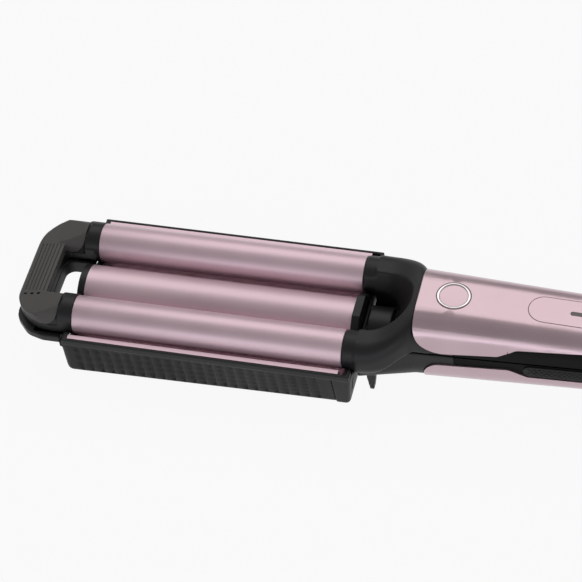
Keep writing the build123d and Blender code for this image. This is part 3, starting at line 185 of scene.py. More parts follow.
# Spark texture and lacquer flakes are nearer 0.1 mm on the tool; the grain is drawn coarser, so that it shows
FINISH = {
    # Ceramic coating on extruded aluminium: a satin, pearly skin that pulls highlights into long bands
    "rose_coated_aluminium": finish(
        "rose_ceramic_coating", {"Metallic": 0.72, "Coat Weight": 0.4, "Coat Roughness": 0.3},
        size_mm=0.5, height_mm=0.0012, rough=0.5, spread=0.02, tints=("#DBBFC9", "#E0C5CE")),
    # Metallic lacquer sprayed on ABS: pearl flakes under a satin clear coat
    "rose_painted_shell": finish(
        "rose_pearl_lacquer", {"Metallic": 0.7, "Coat Weight": 0.35, "Coat Roughness": 0.25},
        size_mm=0.45, height_mm=0.0012, rough=0.3, spread=0.02, tints=("#C4AAB2", "#C9B0B7")),
    # Glass-filled heat-resistant nylon, moulded with a fine spark texture: near-black, dull sheen
    "black_heat_resin": finish(
        "black_heat_nylon", {"Specular IOR Level": 0.3},
        size_mm=0.4, height_mm=0.012, rough=0.44, spread=0.05, tints=("#1D1D1E", "#222223")),
    # The same nylon in the guard's cooler and deeper black
    "black_guard_resin": finish(
        "blue_black_guard_nylon", {"Specular IOR Level": 0.2},
        size_mm=0.4, height_mm=0.012, rough=0.5, spread=0.05, tints=("#0F0F12", "#141417")),
    # Moulded nylon with a warm matt finish, which looks grey beside the black
    "grey_black_cover": finish(
        "warm_grey_nylon", {"Specular IOR Level": 0.4},
        size_mm=0.35, height_mm=0.01, rough=0.55, tints=("#4D4A48", "#53504E")),
    # ABS from a spark-eroded mould, matt; its colour is set near-black and its sheen low as painted shade, so
    # the slot between the arms stays dark
    "black_abs": finish(
        "black_abs", {"Specular IOR Level": 0.1},
        size_mm=0.4, height_mm=0.01, rough=0.55, tints=("#0A0A0B", "#0E0E0F")),
    # Flexible nylon of the gland: a soft gleam along its rings
    "black_gland": finish(
        "black_gland_nylon", {"Specular IOR Level": 0.3},
        size_mm=0.4, height_mm=0.01, rough=0.45, tints=("#1D1D1D", "#232323")),
    # Moulded rubber: matt, slightly greyer than the plastic round it
    "black_rubber": finish(
        "black_grip_rubber", {"Specular IOR Level": 0.3},
        size_mm=0.3, height_mm=0.02, rough=0.6, tints=("#1C1C1D", "#222223")),
    # ABS that thumbs have polished: a little brighter than the handle's black
    "black_slider": finish(
        "black_slider_abs", {"Specular IOR Level": 0.4},
        size_mm=0.4, height_mm=0.01, rough=0.38, tints=("#262627", "#2C2C2D")),
    # Lacquered button caps: paler than the shell, with fewer flakes
    "button_grey": finish(
        "rose_button_lacquer", {"Metallic": 0.5, "Coat Weight": 0.3},
        size_mm=0.4, height_mm=0.002, rough=0.36, tints=("#D9C3C7", "#DEC9CD")),
    # Smoked acrylic: glossy, and dark until its lamp is on
    "smoked_lens": finish(
        "smoked_acrylic", {"IOR": 1.49, "Transmission Weight": 0.35},
        size_mm=0.5, height_mm=0.001, rough=0.12, tints=("#6B6062", "#73686A")),
    # Solder mask on glass laminate: green under a thin gloss
    "green_board": finish(
        "solder_mask", {"IOR": 1.5, "Coat Weight": 0.4},
        size_mm=0.6, height_mm=0.01, rough=0.35, tints=("#1C5A3A", "#206342")),
    # Sintered alumina: chalky off-white
    "heater_ceramic": finish(
        "alumina_ceramic", {"IOR": 1.76},
        size_mm=0.2, height_mm=0.004, rough=0.6, tints=("#E6E1D6", "#EDE8DD")),
    # Aluminium as it leaves the die: soft grey mirror
    "bare_aluminium": finish(
        "extruded_aluminium", {"Metallic": 1.0},
        size_mm=0.4, height_mm=0.004, rough=0.36, tints=("#C8C9CB", "#D0D1D3")),
    # Chrome on the emblem's ring: sharp, bright line
    "bright_ring": finish(
        "polished_chrome_ring", {"Metallic": 1.0},
        size_mm=0.3, height_mm=0.0005, rough=0.12, tints=("#D9D6D7", "#DEDCDC")),
    # Pad-printed ink: flat warm grey
    "printed_mark": finish(
        "grey_pad_printing", {"Specular IOR Level": 0.3},
        size_mm=0.3, height_mm=0.002, rough=0.5, tints=("#6E6265", "#74686B")),
    # Drawn spring wire and strip: mid-grey gleam
    "spring_steel": finish(
        "spring_steel", {"Metallic": 1.0},
        size_mm=0.3, height_mm=0.003, rough=0.3, tints=("#A9A9AA", "#B4B4B5")),
    # Turned and plated screws and pin: clear gleam
    "bright_steel": finish(
        "turned_steel", {"Metallic": 1.0},
        size_mm=0.3, height_mm=0.003, rough=0.26, tints=("#B8B8B9", "#C2C2C3")),
}
FINISH["rose_painted_panel"] = FINISH["rose_painted_shell"]
FINISH["rose_painted_disc"] = FINISH["rose_painted_shell"]

slot_of = {part["node"]: part["material_slot"] for part in frame["record"]["subparts"]}
body_of = {name: node["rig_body"] for name, node in frame["nodes"].items()}
for name, node in frame["nodes"].items():
    for socket in node.material_slots:
        socket.material = FINISH[slot_of[name]]


# ------------------------------------------------------------------ shaping helpers
def finish_piece(mesh_bm, name, body, slot, replaced=(), smooth_angle=35.0):
    """Turns a finished bmesh into a piece; it rides on its body, if one is given."""
    mesh = bpy.data.meshes.new(name)
    bmesh.ops.recalc_face_normals(mesh_bm, faces=mesh_bm.faces)
    mesh_bm.to_mesh(mesh)
    mesh_bm.free()
    mesh.shade_smooth()
    mesh.set_sharp_from_angle(angle=radians(smooth_angle))
    mesh.materials.append(FINISH[slot])
    piece = bpy.data.objects.new(name, mesh)
    bpy.context.scene.collection.objects.link(piece)
    if body:
        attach(piece, body)
    if replaced:
        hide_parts(*replaced)
    return piece


def as_object(bm, name):
    """Puts a finished bmesh into the scene as a plain object."""
    mesh = bpy.data.meshes.new(name)
    bm.to_mesh(mesh)
    bm.free()
    made = bpy.data.objects.new(name, mesh)
    bpy.context.scene.collection.objects.link(made)
    return made


def baked(made):
    """Object's mesh with its modifiers applied, as a bmesh; the object goes."""
    graph = bpy.context.evaluated_depsgraph_get()
    bm = bmesh.new()
    bm.from_mesh(bpy.data.meshes.new_from_object(made.evaluated_get(graph)))
    bpy.data.objects.remove(made)
    return bm


def joined(shapes):
    """Several bmesh shapes as one."""
    carrier = bpy.data.meshes.new("carrier")
    whole = bmesh.new()
    for bm in shapes:
        bm.to_mesh(carrier)
        whole.from_mesh(carrier)
        bm.free()
    bpy.data.meshes.remove(carrier)
    return whole


def combined(bm, *steps):
    """Booleans on a bmesh, one after another, each an operation and a bmesh."""
    base = as_object(bm, "base")
    tools = []
    for operation, shape in steps:
        tools.append(as_object(shape, "tool"))
        step = base.modifiers.new("step", "BOOLEAN")
        step.operation, step.solver, step.object = operation, "EXACT", tools[-1]
    result = baked(base)
    for tool in tools:
        bpy.data.objects.remove(tool)
    return result


def carve(piece, cutters):
    """Cuts bmesh shapes, which don't touch each other, out of a finished piece."""
    tool = as_object(joined(cutters), "cutter")
    cut = piece.modifiers.new("cut", "BOOLEAN")
    cut.operation, cut.solver, cut.object = "DIFFERENCE", "EXACT", tool
    graph = bpy.context.evaluated_depsgraph_get()
    carved = bpy.data.meshes.new_from_object(piece.evaluated_get(graph))
    piece.modifiers.remove(cut)
    piece.data = carved
    bpy.data.objects.remove(tool)


def cad_copy(name):
    """A node's mesh as a bmesh of its own, with its doubled points merged."""
    bm = bmesh.new()
    bm.from_mesh(frame["nodes"][name].data)
    bmesh.ops.remove_doubles(bm, verts=bm.verts, dist=2e-6)
    return bm


SOFT_ANGLE = 80.0  # on a softened part only sharper turns than this keep a hard edge
FLAT_ANGLE = 1.0  # faces that turn by less are one flat face
SHARP_ANGLE = 32.0  # edges that turn by more are broken by a small bevel


def softened(name, voxel_mm, rounds, shape=None):
    """A moulded part with the small radii that a mould leaves on its edges."""
    blank = as_object(shape or cad_copy(name), name + "_blank")
    remesh = blank.modifiers.new("skin", "REMESH")
    remesh.mode = "VOXEL"
    remesh.voxel_size = voxel_mm * MM
    relax = blank.modifiers.new("radius", "SMOOTH")
    relax.factor = 0.5
    relax.iterations = rounds
    return finish_piece(baked(blank), name + "_moulding", body_of[name], slot_of[name], (name,), SOFT_ANGLE)


def crisp(name, radius_mm):
    """Copy of a thin moulding or a machined part, flat faces kept and its edges broken."""
    bm = cad_copy(name)
    bmesh.ops.dissolve_limit(bm, angle_limit=radians(FLAT_ANGLE), verts=bm.verts, edges=bm.edges)
    piece = finish_piece(bm, name + "_moulding", body_of[name], slot_of[name], (name,), SHARP_ANGLE)
    edge = piece.modifiers.new("broken_edge", "BEVEL")
    edge.width, edge.segments, edge.limit_method = radius_mm * MM, 2, "ANGLE"
    edge.angle_limit, edge.harden_normals, edge.use_clamp_overlap = radians(SHARP_ANGLE), True, True
    shade = piece.modifiers.new("even_shading", "WEIGHTED_NORMAL")
    shade.keep_sharp, shade.weight = True, 80


def turned(profile, centre, axis, steps=96):
    """Closed (along, radius) profile in mm, turned round an axis through centre."""
    bm = bmesh.new()
    side = UP if abs(axis.z) < 0.5 else ACROSS
    side = (side - axis * side.dot(axis)).normalized()
    verts = [bm.verts.new((centre + axis * a + side * r) * MM) for a, r in profile]
    edges = [bm.edges.new((verts[i], verts[(i + 1) % len(verts)])) for i in range(len(verts))]
    bmesh.ops.spin(bm, geom=verts + edges, cent=centre * MM, axis=axis, angle=2 * pi, steps=steps,
                   use_merge=True)
    bmesh.ops.remove_doubles(bm, verts=bm.verts, dist=1e-6)
    return bm


def block(size, centre, axes=WORLD_AXES, edge_mm=0.0, turn=0.0):
    """Box in mm, set along three axes and turned about the third; edge_mm breaks its edges."""
    bm = bmesh.new()
    bmesh.ops.create_cube(bm, size=1.0)
    bmesh.ops.scale(bm, verts=bm.verts, vec=size)
    if edge_mm:
        bmesh.ops.bevel(bm, geom=bm.edges[:], offset=edge_mm, offset_type="OFFSET", segments=2, profile=0.5,
                        affect="EDGES", material=-1, clamp_overlap=True)
    seat = Matrix((axes[0], axes[1], axes[2])).transposed() @ Matrix.Rotation(turn, 3, "Z")
    bmesh.ops.rotate(bm, verts=bm.verts, matrix=seat)
    bmesh.ops.translate(bm, verts=bm.verts, vec=centre)
    bmesh.ops.scale(bm, verts=bm.verts, vec=(MM, MM, MM))
    return bm


def on_top(along, across=0.0, up=0.0):
    """Point over the handle's sloping top face, in mm from the handle's front."""
    return Vector((X_HANDLE, across, HANDLE_TOP)) + TOP_ALONG * along + TOP_UP * up


def under_handle(x):
    """Height of the handle's sloping underside."""
    return HANDLE_BOTTOM + (x - X_HANDLE) * tan(SLOPE)


# ------------------------------------------------------------------ barrels
END_RADIUS = 0.5
BARREL = X_REAR - X_BARREL
for name, y in (("left_barrel", BARREL_Y), ("right_barrel", -BARREL_Y)):
    tube = turned([(0, BARREL_BORE), (0, BARREL_R - END_RADIUS), (0.15, BARREL_R - 0.15),
                   (END_RADIUS, BARREL_R), (BARREL - END_RADIUS, BARREL_R),
                   (BARREL - 0.15, BARREL_R - 0.15), (BARREL, BARREL_R - END_RADIUS),
                   (BARREL, BARREL_BORE)], Vector((X_BARREL, y, Z_AXIS)), LENGTHWISE)
    finish_piece(tube, name + "_tube", "upper_arm", "rose_coated_aluminium", (name,))

# ------------------------------------------------------------------ wave plate
# Half of its section is drawn from the edge over the lip, through the trough to the ridge's crest
RIDGE_DROP = sqrt((TROUGH_R + RIDGE_R) ** 2 - BARREL_Y ** 2)
lip_y = BARREL_Y + sqrt(TROUGH_R ** 2 - (Z_AXIS - LIP_Z) ** 2)
lip_angle = atan2(LIP_Z - Z_AXIS, lip_y - BARREL_Y)
join_angle = atan2(-RIDGE_DROP, -BARREL_Y)
bm = bmesh.new()
edge = bm.verts.new(Vector((PLATE_X0, PLATE_HALF, LIP_Z)) * MM)
lip = bmesh.ops.extrude_vert_indiv(bm, verts=[edge])["verts"][0]
lip.co = Vector((PLATE_X0, lip_y, LIP_Z)) * MM


def arc_on(bm, start, y, z, angle, steps):
    """Carries the plate's profile line on round a centre."""
    result = bmesh.ops.spin(bm, geom=[start], cent=Vector((PLATE_X0, y, z)) * MM, axis=LENGTHWISE,
                            angle=angle, steps=steps)
    return [item for item in result["geom_last"] if isinstance(item, bmesh.types.BMVert)][0]


at_join = arc_on(bm, lip, BARREL_Y, Z_AXIS, join_angle - lip_angle, 40)
arc_on(bm, at_join, 0, Z_AXIS - RIDGE_DROP, pi / 2 - atan2(RIDGE_DROP, BARREL_Y), 24)
bmesh.ops.mirror(bm, geom=bm.verts[:] + bm.edges[:], axis="Y", merge_dist=1e-6)
run = bmesh.ops.extrude_edge_only(bm, edges=bm.edges[:])
moved = [item for item in run["geom"] if isinstance(item, bmesh.types.BMVert)]
bmesh.ops.translate(bm, verts=moved, vec=((PLATE_X1 - PLATE_X0) * MM, 0, 0))
bmesh.ops.remove_doubles(bm, verts=bm.verts, dist=1e-6)
bmesh.ops.recalc_face_normals(bm, faces=bm.faces)
if sum(face.normal.z for face in bm.faces) < 0:
    bmesh.ops.reverse_faces(bm, faces=bm.faces)
bmesh.ops.solidify(bm, geom=bm.faces[:], thickness=PLATE_T * MM)
finish_piece(bm, "wave_plate_extrusion", "lower_arm", "rose_coated_aluminium", ("wave_plate",))

# ------------------------------------------------------------------ tip bridge
SLEEVE_R, COVER_R, CORE_R = 9.1, 9.2, 8.5
LOOP_CORNER, WINDOW_CORNER = 20.0, 3.5
X_SLEEVE = X_BARREL - 17.0
X_COVER = X_BARREL - 7.4
X_WINDOW = X_TIP + 14.6
BAR_TOP = 34.6
SLOPE_RUN = 5.0
BROW, BROW_DROP = 4.0, 1.4
COVER_END_R = 8.0
slope_foot, slope_top = (X_SLEEVE - SLOPE_RUN, BAR_TOP), (X_COVER, Z_AXIS + COVER_R)

# Cutting shapes reach well past what they cut: between these heights, and to this width and radius
Z_UNDER, Z_OVER, WIDE, CLEAR_R = 10.0, 60.0, 100.0, 14.0
OVERCUT, OVERRUN = 0.1, 1.0
LAYER_LENGTH = 80.0
X_LOOP_END, X_WINDOW_END = X_BARREL + 20.0, X_BARREL - 2.0


def rod(x, length, y, radius, bore=0.0):
    """Rod or tube along a barrel's axis."""
    return turned([(0, bore), (0, radius), (length, radius), (length, bore)],
                  Vector((x, y, Z_AXIS)), LENGTHWISE)


def rounded_block(x0, x1, y_half, corner):
    """Upright block; its two vertical edges at the tip end are rounded."""
    bm = bmesh.new()
    bmesh.ops.create_cube(bm, size=1.0)
    bmesh.ops.scale(bm, verts=bm.verts, vec=(x1 - x0, 2 * y_half, Z_OVER - Z_UNDER))
    bmesh.ops.translate(bm, verts=bm.verts, vec=((x0 + x1) / 2, 0, (Z_UNDER + Z_OVER) / 2))
    upright = [e for e in bm.edges if max(v.co.x for v in e.verts) < x0 + 0.01
               and abs(e.verts[0].co.z - e.verts[1].co.z) > 0.01]
    bmesh.ops.bevel(bm, geom=upright, offset=corner, offset_type="OFFSET", segments=24, profile=0.5,
                    affect="EDGES", material=-1, clamp_overlap=True)
    bmesh.ops.scale(bm, verts=bm.verts, vec=(MM, MM, MM))
    return bm


def prism(outline):
    """Closed (x, z) outline in mm, drawn out across the tool."""
    bm = bmesh.new()
    face = bm.faces.new([bm.verts.new(Vector((x, -WIDE / 2, z)) * MM) for x, z in outline])
    drawn = bmesh.ops.extrude_face_region(bm, geom=[face])
    moved = [item for item in drawn["geom"] if isinstance(item, bmesh.types.BMVert)]
    bmesh.ops.translate(bm, verts=moved, vec=(0, WIDE * MM, 0))
    bmesh.ops.recalc_face_normals(bm, faces=bm.faces)
    return bm


def layer(z0, z1):
    """All that lies between two heights round the barrels' front ends."""
    return block((LAYER_LENGTH, WIDE, z1 - z0), Vector((X_BARREL, 0, (z0 + z1) / 2)))


def over_cores():
    """Room over the cover's slope, lowered by the cover's wall."""
    wall = COVER_R - CORE_R
    past = slope_top[0] + OVERRUN
    return prism([(slope_foot[0], slope_foot[1] - wall), (slope_top[0], slope_top[1] - wall),
                  (past, slope_top[1] - wall), (past, Z_OVER), (slope_foot[0], Z_OVER)])


def loop_outline():
    """Outside of the bridge in plan."""
    return rounded_block(X_TIP, X_LOOP_END, BARREL_Y + COVER_R, LOOP_CORNER)


def loop_window():
    """Opening between the bridge's bar and the barrels, in plan."""
    return rounded_block(X_WINDOW, X_WINDOW_END, BARREL_Y - COVER_R, WINDOW_CORNER)


# Frame: the node's own shape, trimmed to the sleeves, to the cores under the cover and to the loop
trims = []
for y in (BARREL_Y, -BARREL_Y):
    covered = (X_SLEEVE - OVERCUT, X_COVER - X_SLEEVE + OVERCUT, y, CLEAR_R)
    trims += [("DIFFERENCE", rod(X_COVER, X_BARREL - X_COVER, y, CLEAR_R, SLEEVE_R)),
              ("DIFFERENCE", combined(rod(*covered, CORE_R), ("INTERSECT", layer(Z_AXIS, Z_OVER)))),
              ("DIFFERENCE", combined(rod(*covered, COVER_R), ("INTERSECT", layer(0, BRIDGE_BASE))))]
trims.append(("DIFFERENCE", combined(over_cores(), ("INTERSECT", layer(Z_AXIS, Z_OVER)))))
softened("tip_bridge_frame", 0.4, 3, combined(cad_copy("tip_bridge_frame"), ("INTERSECT", loop_outline()),
                                              ("DIFFERENCE", loop_window()), *trims))

# Cover: seen from the side it rounds over at the tip, rises in a slope and rounds under at its end
QUARTER = [radians(5.0 * step) for step in range(19)]
brow_rise = BAR_TOP - BROW_DROP - Z_AXIS
side_view = [(X_TIP + BROW * (1 - sin(a)), Z_AXIS + brow_rise * cos(a)) for a in QUARTER]
side_view += [(X_COVER - COVER_END_R * (1 - sin(a)), Z_AXIS + COVER_END_R * (1 - cos(a))) for a in QUARTER]
side_view += [slope_top, slope_foot]
bar = block((X_WINDOW - X_TIP, 2 * (BARREL_Y + COVER_R), BAR_TOP - Z_AXIS),
            Vector(((X_TIP + X_WINDOW) / 2, 0, (Z_AXIS + BAR_TOP) / 2)))
steps = [("UNION", rod(X_TIP, X_COVER - X_TIP, -BARREL_Y, COVER_R)), ("UNION", bar),
         ("INTERSECT", prism(side_view)), ("INTERSECT", loop_outline()), ("DIFFERENCE", loop_window())]
SCREW_HOLE_R, SCREW_HOLE_TOP, SCREW_HOLE_START = 1.5, 3.2, -0.2
for side in (1, -1):
    core = rod(X_SLEEVE, X_COVER - X_SLEEVE + OVERRUN, side * BARREL_Y, CORE_R)
    steps.append(("DIFFERENCE", combined(core, ("DIFFERENCE", over_cores()))))
    hole = turned([(0, 0), (0, SCREW_HOLE_R), (SCREW_HOLE_TOP, SCREW_HOLE_R), (SCREW_HOLE_TOP, 0)],
                  Vector((BRIDGE_SCREW_X, side * BRIDGE_SCREW_Y, Z_AXIS + SCREW_HOLE_START)), UP, 32)
    steps.append(("DIFFERENCE", hole))
cover = softened("tip_bridge_cover", 0.3, 5, combined(rod(X_TIP, X_COVER - X_TIP, BARREL_Y, COVER_R), *steps))

# The bar's grip grooves and its three small slots, cut sharp after the cover's radii
GROOVE_X, GROOVE_PITCH, GROOVE_COUNT = X_TIP + 3.4, 1.9, 6
GROOVE_HALF, GROOVE_WIDTH, GROOVE_DEPTH, CUTTER_HEIGHT = 15.5, 0.55, 0.4, 3.0
SLOT_LONG, SLOT_WIDE, SLOT_X, SLOT_PITCH, SLOT_Y, SLOT_Z = 1.7, 1.2, X_TIP + 4.1, 3.5, -17.9, 34.0
bar_rise = BROW_DROP / (slope_foot[0] - X_TIP - BROW)
cutters = []
for x in [GROOVE_X + n * GROOVE_PITCH for n in range(GROOVE_COUNT)]:
    surface = BAR_TOP - bar_rise * max(0, slope_foot[0] - x)
    cutters.append(block((GROOVE_WIDTH, 2 * GROOVE_HALF, CUTTER_HEIGHT),
                         Vector((x, 0, surface - GROOVE_DEPTH + CUTTER_HEIGHT / 2))))
cutters += [block((SLOT_LONG, SLOT_WIDE, CUTTER_HEIGHT), Vector((SLOT_X + SLOT_PITCH * n, SLOT_Y, SLOT_Z)))
            for n in range(3)]
carve(cover, cutters)

# ------------------------------------------------------------------ lower arm's rim, nose and guard
# Rim: cut down to show the plate's edges, cut back at the front, and linked to the nose on both sides
RIM_TOP = LIP_Z + 0.15
RIM_FOOT = 25.25
RIM_FRONT = X_BARREL - 3.65
X_NOSE_REAR = X_BARREL - 4.6
LINK_START, LINK_END = X_NOSE_REAR - 1.0, PLATE_X0 - 0.15
LINK_WIDTH, LINK_HEIGHT, LINK_Y, LINK_Z = 1.45, 3.0, 35.575, 25.7
TOP_CUT_LENGTH, TOP_CUT_HEIGHT, TOP_CUT_MIDDLE = 200.0, 4.0, X_BARREL + 60.0
FRONT_CUT_LENGTH = 8.0
rim = [("DIFFERENCE", block((TOP_CUT_LENGTH, WIDE, TOP_CUT_HEIGHT),
                            Vector((TOP_CUT_MIDDLE, 0, RIM_TOP + TOP_CUT_HEIGHT / 2)))),
       ("DIFFERENCE", block((FRONT_CUT_LENGTH, WIDE, RIM_TOP - RIM_FOOT),
                            Vector((RIM_FRONT - FRONT_CUT_LENGTH / 2, 0, (RIM_TOP + RIM_FOOT) / 2))))]
for side in (-1, 1):
    rim.append(("UNION", block((LINK_END - LINK_START, LINK_WIDTH, LINK_HEIGHT),
                               Vector(((LINK_START + LINK_END) / 2, side * LINK_Y, LINK_Z)))))

# The nose's floor runs back to the front cap's face, with the sleeves' pockets left open
NOSE_FLOOR, FLOOR_HEIGHT, FLOOR_WIDTH, FLOOR_Y = 17.2, 4.4, 16.6, 21.3
FLOOR_START, FLOOR_END = X_BARREL - 12.45, X_BARREL - 4.75
POCKET_R, POCKET_START, POCKET_LENGTH = 10.7, X_TIP + 12.0, 32.0
for side in (-1, 1):
    floor_end = block((FLOOR_END - FLOOR_START, FLOOR_WIDTH, FLOOR_HEIGHT),
                      Vector(((FLOOR_START + FLOOR_END) / 2, side * FLOOR_Y, NOSE_FLOOR + FLOOR_HEIGHT / 2)))
    pocket = rod(POCKET_START, POCKET_LENGTH, side * BARREL_Y, POCKET_R)
    rim.append(("UNION", combined(floor_end, ("DIFFERENCE", pocket))))
softened("plate_frame", 0.45, 3, combined(cad_copy("plate_frame"), *rim))

# Guard: its sides stand steeper towards the tip, and its front wall comes forward round the nose
Z_GUARD = 25.4
GUARD_END = X_REAR - 4.0
GUARD_TOP_HALF = 39.3
LEAN, LEAN_FRONT = 5.3, 2.5
LEAD, LEAD_ZONE, LEAD_FADE = 0.75, 4.5, 2.0
tub = cad_copy("heat_guard")
front = min(v.co.x for v in tub.verts) / MM
for v in tub.verts:
    x, z = v.co.x / MM, v.co.z / MM
    lean = LEAN_FRONT + (LEAN - LEAN_FRONT) * (x - front) / (GUARD_END - front)
    depth = 1 - z / Z_GUARD
    v.co.y *= (GUARD_TOP_HALF - lean * depth) / (GUARD_TOP_HALF - LEAN * depth)
    v.co.x -= LEAD * MM * min(1, max(0, (front + LEAD_ZONE - x) / LEAD_FADE))
CHEEK, CHEEK_Y, CHEEK_Z = (1.8, 2.2, 4.2), 37.5, 23.3
NOTCH, NOTCH_DEPTH, NOTCH_Z = (8.0, 73.2, 6.0), 2.1, 24.25
new_front = front - LEAD
cheeks = [("UNION", block(CHEEK, Vector((new_front + CHEEK[0] / 2, side * CHEEK_Y, CHEEK_Z))))
          for side in (-1, 1)]
notch = block(NOTCH, Vector((new_front + NOTCH_DEPTH - NOTCH[0] / 2, 0, NOTCH_Z)))
softened("heat_guard", 0.7, 3, combined(tub, *cheeks, ("DIFFERENCE", notch)))

# ------------------------------------------------------------------ other mouldings with soft edges
for name, voxel, rounds in (("barrel_yoke", 0.5, 14), ("lower_neck", 0.5, 5), ("guard_end_cap", 0.45, 3),
                            ("tail_housing", 0.45, 3), ("plate_rear_cap", 0.35, 3)):
    softened(name, voxel, rounds)

# ------------------------------------------------------------------ shells, covers and trims
EDGE_RADIUS = {"upper_handle_shell": 0.3, "lower_handle_shell": 0.3, "upper_inner_cover": 0.2,
               "lower_inner_cover": 0.2, "control_panel": 0.25, "indicator_lens": 0.15,
               "plate_front_cap": 0.4, "left_grip": 0.3, "right_grip": 0.3, "lock_slider": 0.3,
               "heater_clamp": 0.15, "circuit_board": 0.1, "plate_heater": 0.2, "left_heater": 0.2,
               "right_heater": 0.2}
for name, radius in EDGE_RADIUS.items():
    crisp(name, radius)

# Emblem disc: dished, blank, with a bright ring round it
emblem = on_top(EMBLEM_AT)
disc = turned([(-1.2, 0), (-1.2, EMBLEM_R), (-0.15, EMBLEM_R), (0, EMBLEM_R - 0.15), (0, 6.9), (-0.2, 6.7),
               (-0.33, 5.0), (-0.38, 2.5), (-0.4, 0)], emblem, TOP_UP)
finish_piece(disc, "emblem_disc_moulding", "upper_arm", "rose_painted_disc", ("emblem_disc",))
ring = turned([(-0.1, 6.95), (0.16, 6.98), (0.27, 7.15), (0.32, 7.5), (0.27, 7.85), (0.14, 8.02),
               (-0.1, 8.05)], emblem, TOP_UP)
finish_piece(ring, "emblem_ring", "upper_arm", "bright_ring")

# Buttons: dished caps on a flange and a stem, each with its printed mark
BUTTON_PROFILE = [(-4.7, 0), (-4.7, 1.3), (-4.4, 1.6), (-2.5, 1.6), (-2.5, 4.8), (-2.3, 5.0), (-1.7, 5.0),
                  (-1.5, 4.8), (-1.5, 4.0), (0.4, 4.0), (0.6, 3.95), (0.78, 3.78), (0.87, 3.5), (0.84, 3.1),
                  (0.72, 2.2), (0.64, 1.2), (0.6, 0)]
MARK_HEIGHT, MARK_EDGE = 0.3, 0.05
SIGN_LONG, SIGN_WIDE, SIGN_UP = 2.8, 0.55, 0.62
POWER_R, POWER_LINE, POWER_UP, POWER_GAP = 1.6, 0.5, 0.65, radians(70)
POWER_BAR, POWER_BAR_AT = 1.5, 1.35


def power_mark(place):
    """Ring with a gap, and a bar in the gap."""
    arc = bmesh.new()
    section = bmesh.ops.create_grid(arc, x_segments=1, y_segments=1, size=0.5)["verts"]
    bmesh.ops.scale(arc, verts=section, vec=(POWER_LINE, MARK_HEIGHT, 1))
    bmesh.ops.rotate(arc, verts=section, matrix=Matrix.Rotation(pi / 2, 3, "X"))
    bmesh.ops.translate(arc, verts=section, vec=(POWER_R, 0, POWER_UP))
    bmesh.ops.rotate(arc, verts=section, matrix=Matrix.Rotation(POWER_GAP / 2, 3, "Z"))
    bmesh.ops.spin(arc, geom=arc.verts[:] + arc.edges[:] + arc.faces[:], cent=(0, 0, 0), axis=UP,
                   angle=2 * pi - POWER_GAP, steps=32)
    bmesh.ops.rotate(arc, verts=arc.verts, matrix=Matrix(TOP_AXES).transposed())
    bmesh.ops.translate(arc, verts=arc.verts, vec=on_top(place))
    bmesh.ops.scale(arc, verts=arc.verts, vec=(MM, MM, MM))
    centre = on_top(place + POWER_BAR_AT, 0, POWER_UP)
    return joined([arc, block((POWER_BAR, POWER_LINE, MARK_HEIGHT), centre, TOP_AXES, MARK_EDGE)])


def sign_mark(place, crossed):
    """Minus sign, or plus sign when it is crossed."""
    centre = on_top(place, 0, SIGN_UP)
    bars = [block((SIGN_WIDE, SIGN_LONG, MARK_HEIGHT), centre, TOP_AXES, MARK_EDGE)]
    if crossed:
        bars.append(block((SIGN_LONG, SIGN_WIDE, MARK_HEIGHT), centre, TOP_AXES, MARK_EDGE))
    return joined(bars)


for name, place in BUTTON_AT.items():
    cap = turned(BUTTON_PROFILE, on_top(place), TOP_UP, 64)
    finish_piece(cap, name + "_cap", name, "button_grey", (name,))
    mark = power_mark(place) if name == "power_button" else sign_mark(place, name == "plus_button")
    finish_piece(mark, name + "_mark", name, "printed_mark")

# Rubber grips: a raised diamond pattern over each pad
RIB, RIB_EDGE, RIB_COUNT, RIB_INSET, RIB_SLANT = (6.0, 0.55, 0.5), 0.12, 25, 4.2, radians(48)
rib_pitch = (GRIP_X1 - GRIP_X0 - 2 * RIB_INSET) / (RIB_COUNT - 1)
for name, side in (("left_grip", 1), ("right_grip", -1)):
    axes = (Vector((cos(SLOPE), -side * sin(SLOPE), 0)), UP, Vector((sin(SLOPE), side * cos(SLOPE), 0)))
    ribs = []
    for number in range(RIB_COUNT):
        x = GRIP_X0 + RIB_INSET + number * rib_pitch
        face = Vector((x, side * (HANDLE_HALF - (x - X_HANDLE) * tan(SLOPE)), GRIP_Z))
        ribs += [block(RIB, face, axes, RIB_EDGE, direction * RIB_SLANT) for direction in (-1, 1)]
    finish_piece(joined(ribs), name + "_ribs", "lower_arm", "black_rubber")

# Lock slider: thumb ridges on its face
LOCK_PROUD, RIDGE, RIDGE_EDGE, RIDGE_PITCH = 1.75, (0.7, 5.6, 0.7), 0.2, 1.5
lock_face = Vector((LOCK_X, 0, under_handle(LOCK_X) - LOCK_PROUD))
ridges = [block(RIDGE, lock_face + BOTTOM_AXES[0] * step * RIDGE_PITCH, BOTTOM_AXES, RIDGE_EDGE)
          for step in range(-2, 3)]
finish_piece(joined(ridges), "lock_slider_ridges", "lock_slider", "black_slider")

# ------------------------------------------------------------------ metal parts and gland
HEAD_R, HEAD_HEIGHT, SHANK_R, SHANK_POINT = 2.6, 1.5, 1.4, 0.5
RECESS_LONG, RECESS_WIDE, RECESS_DEEP = 2.9, 0.7, 1.6


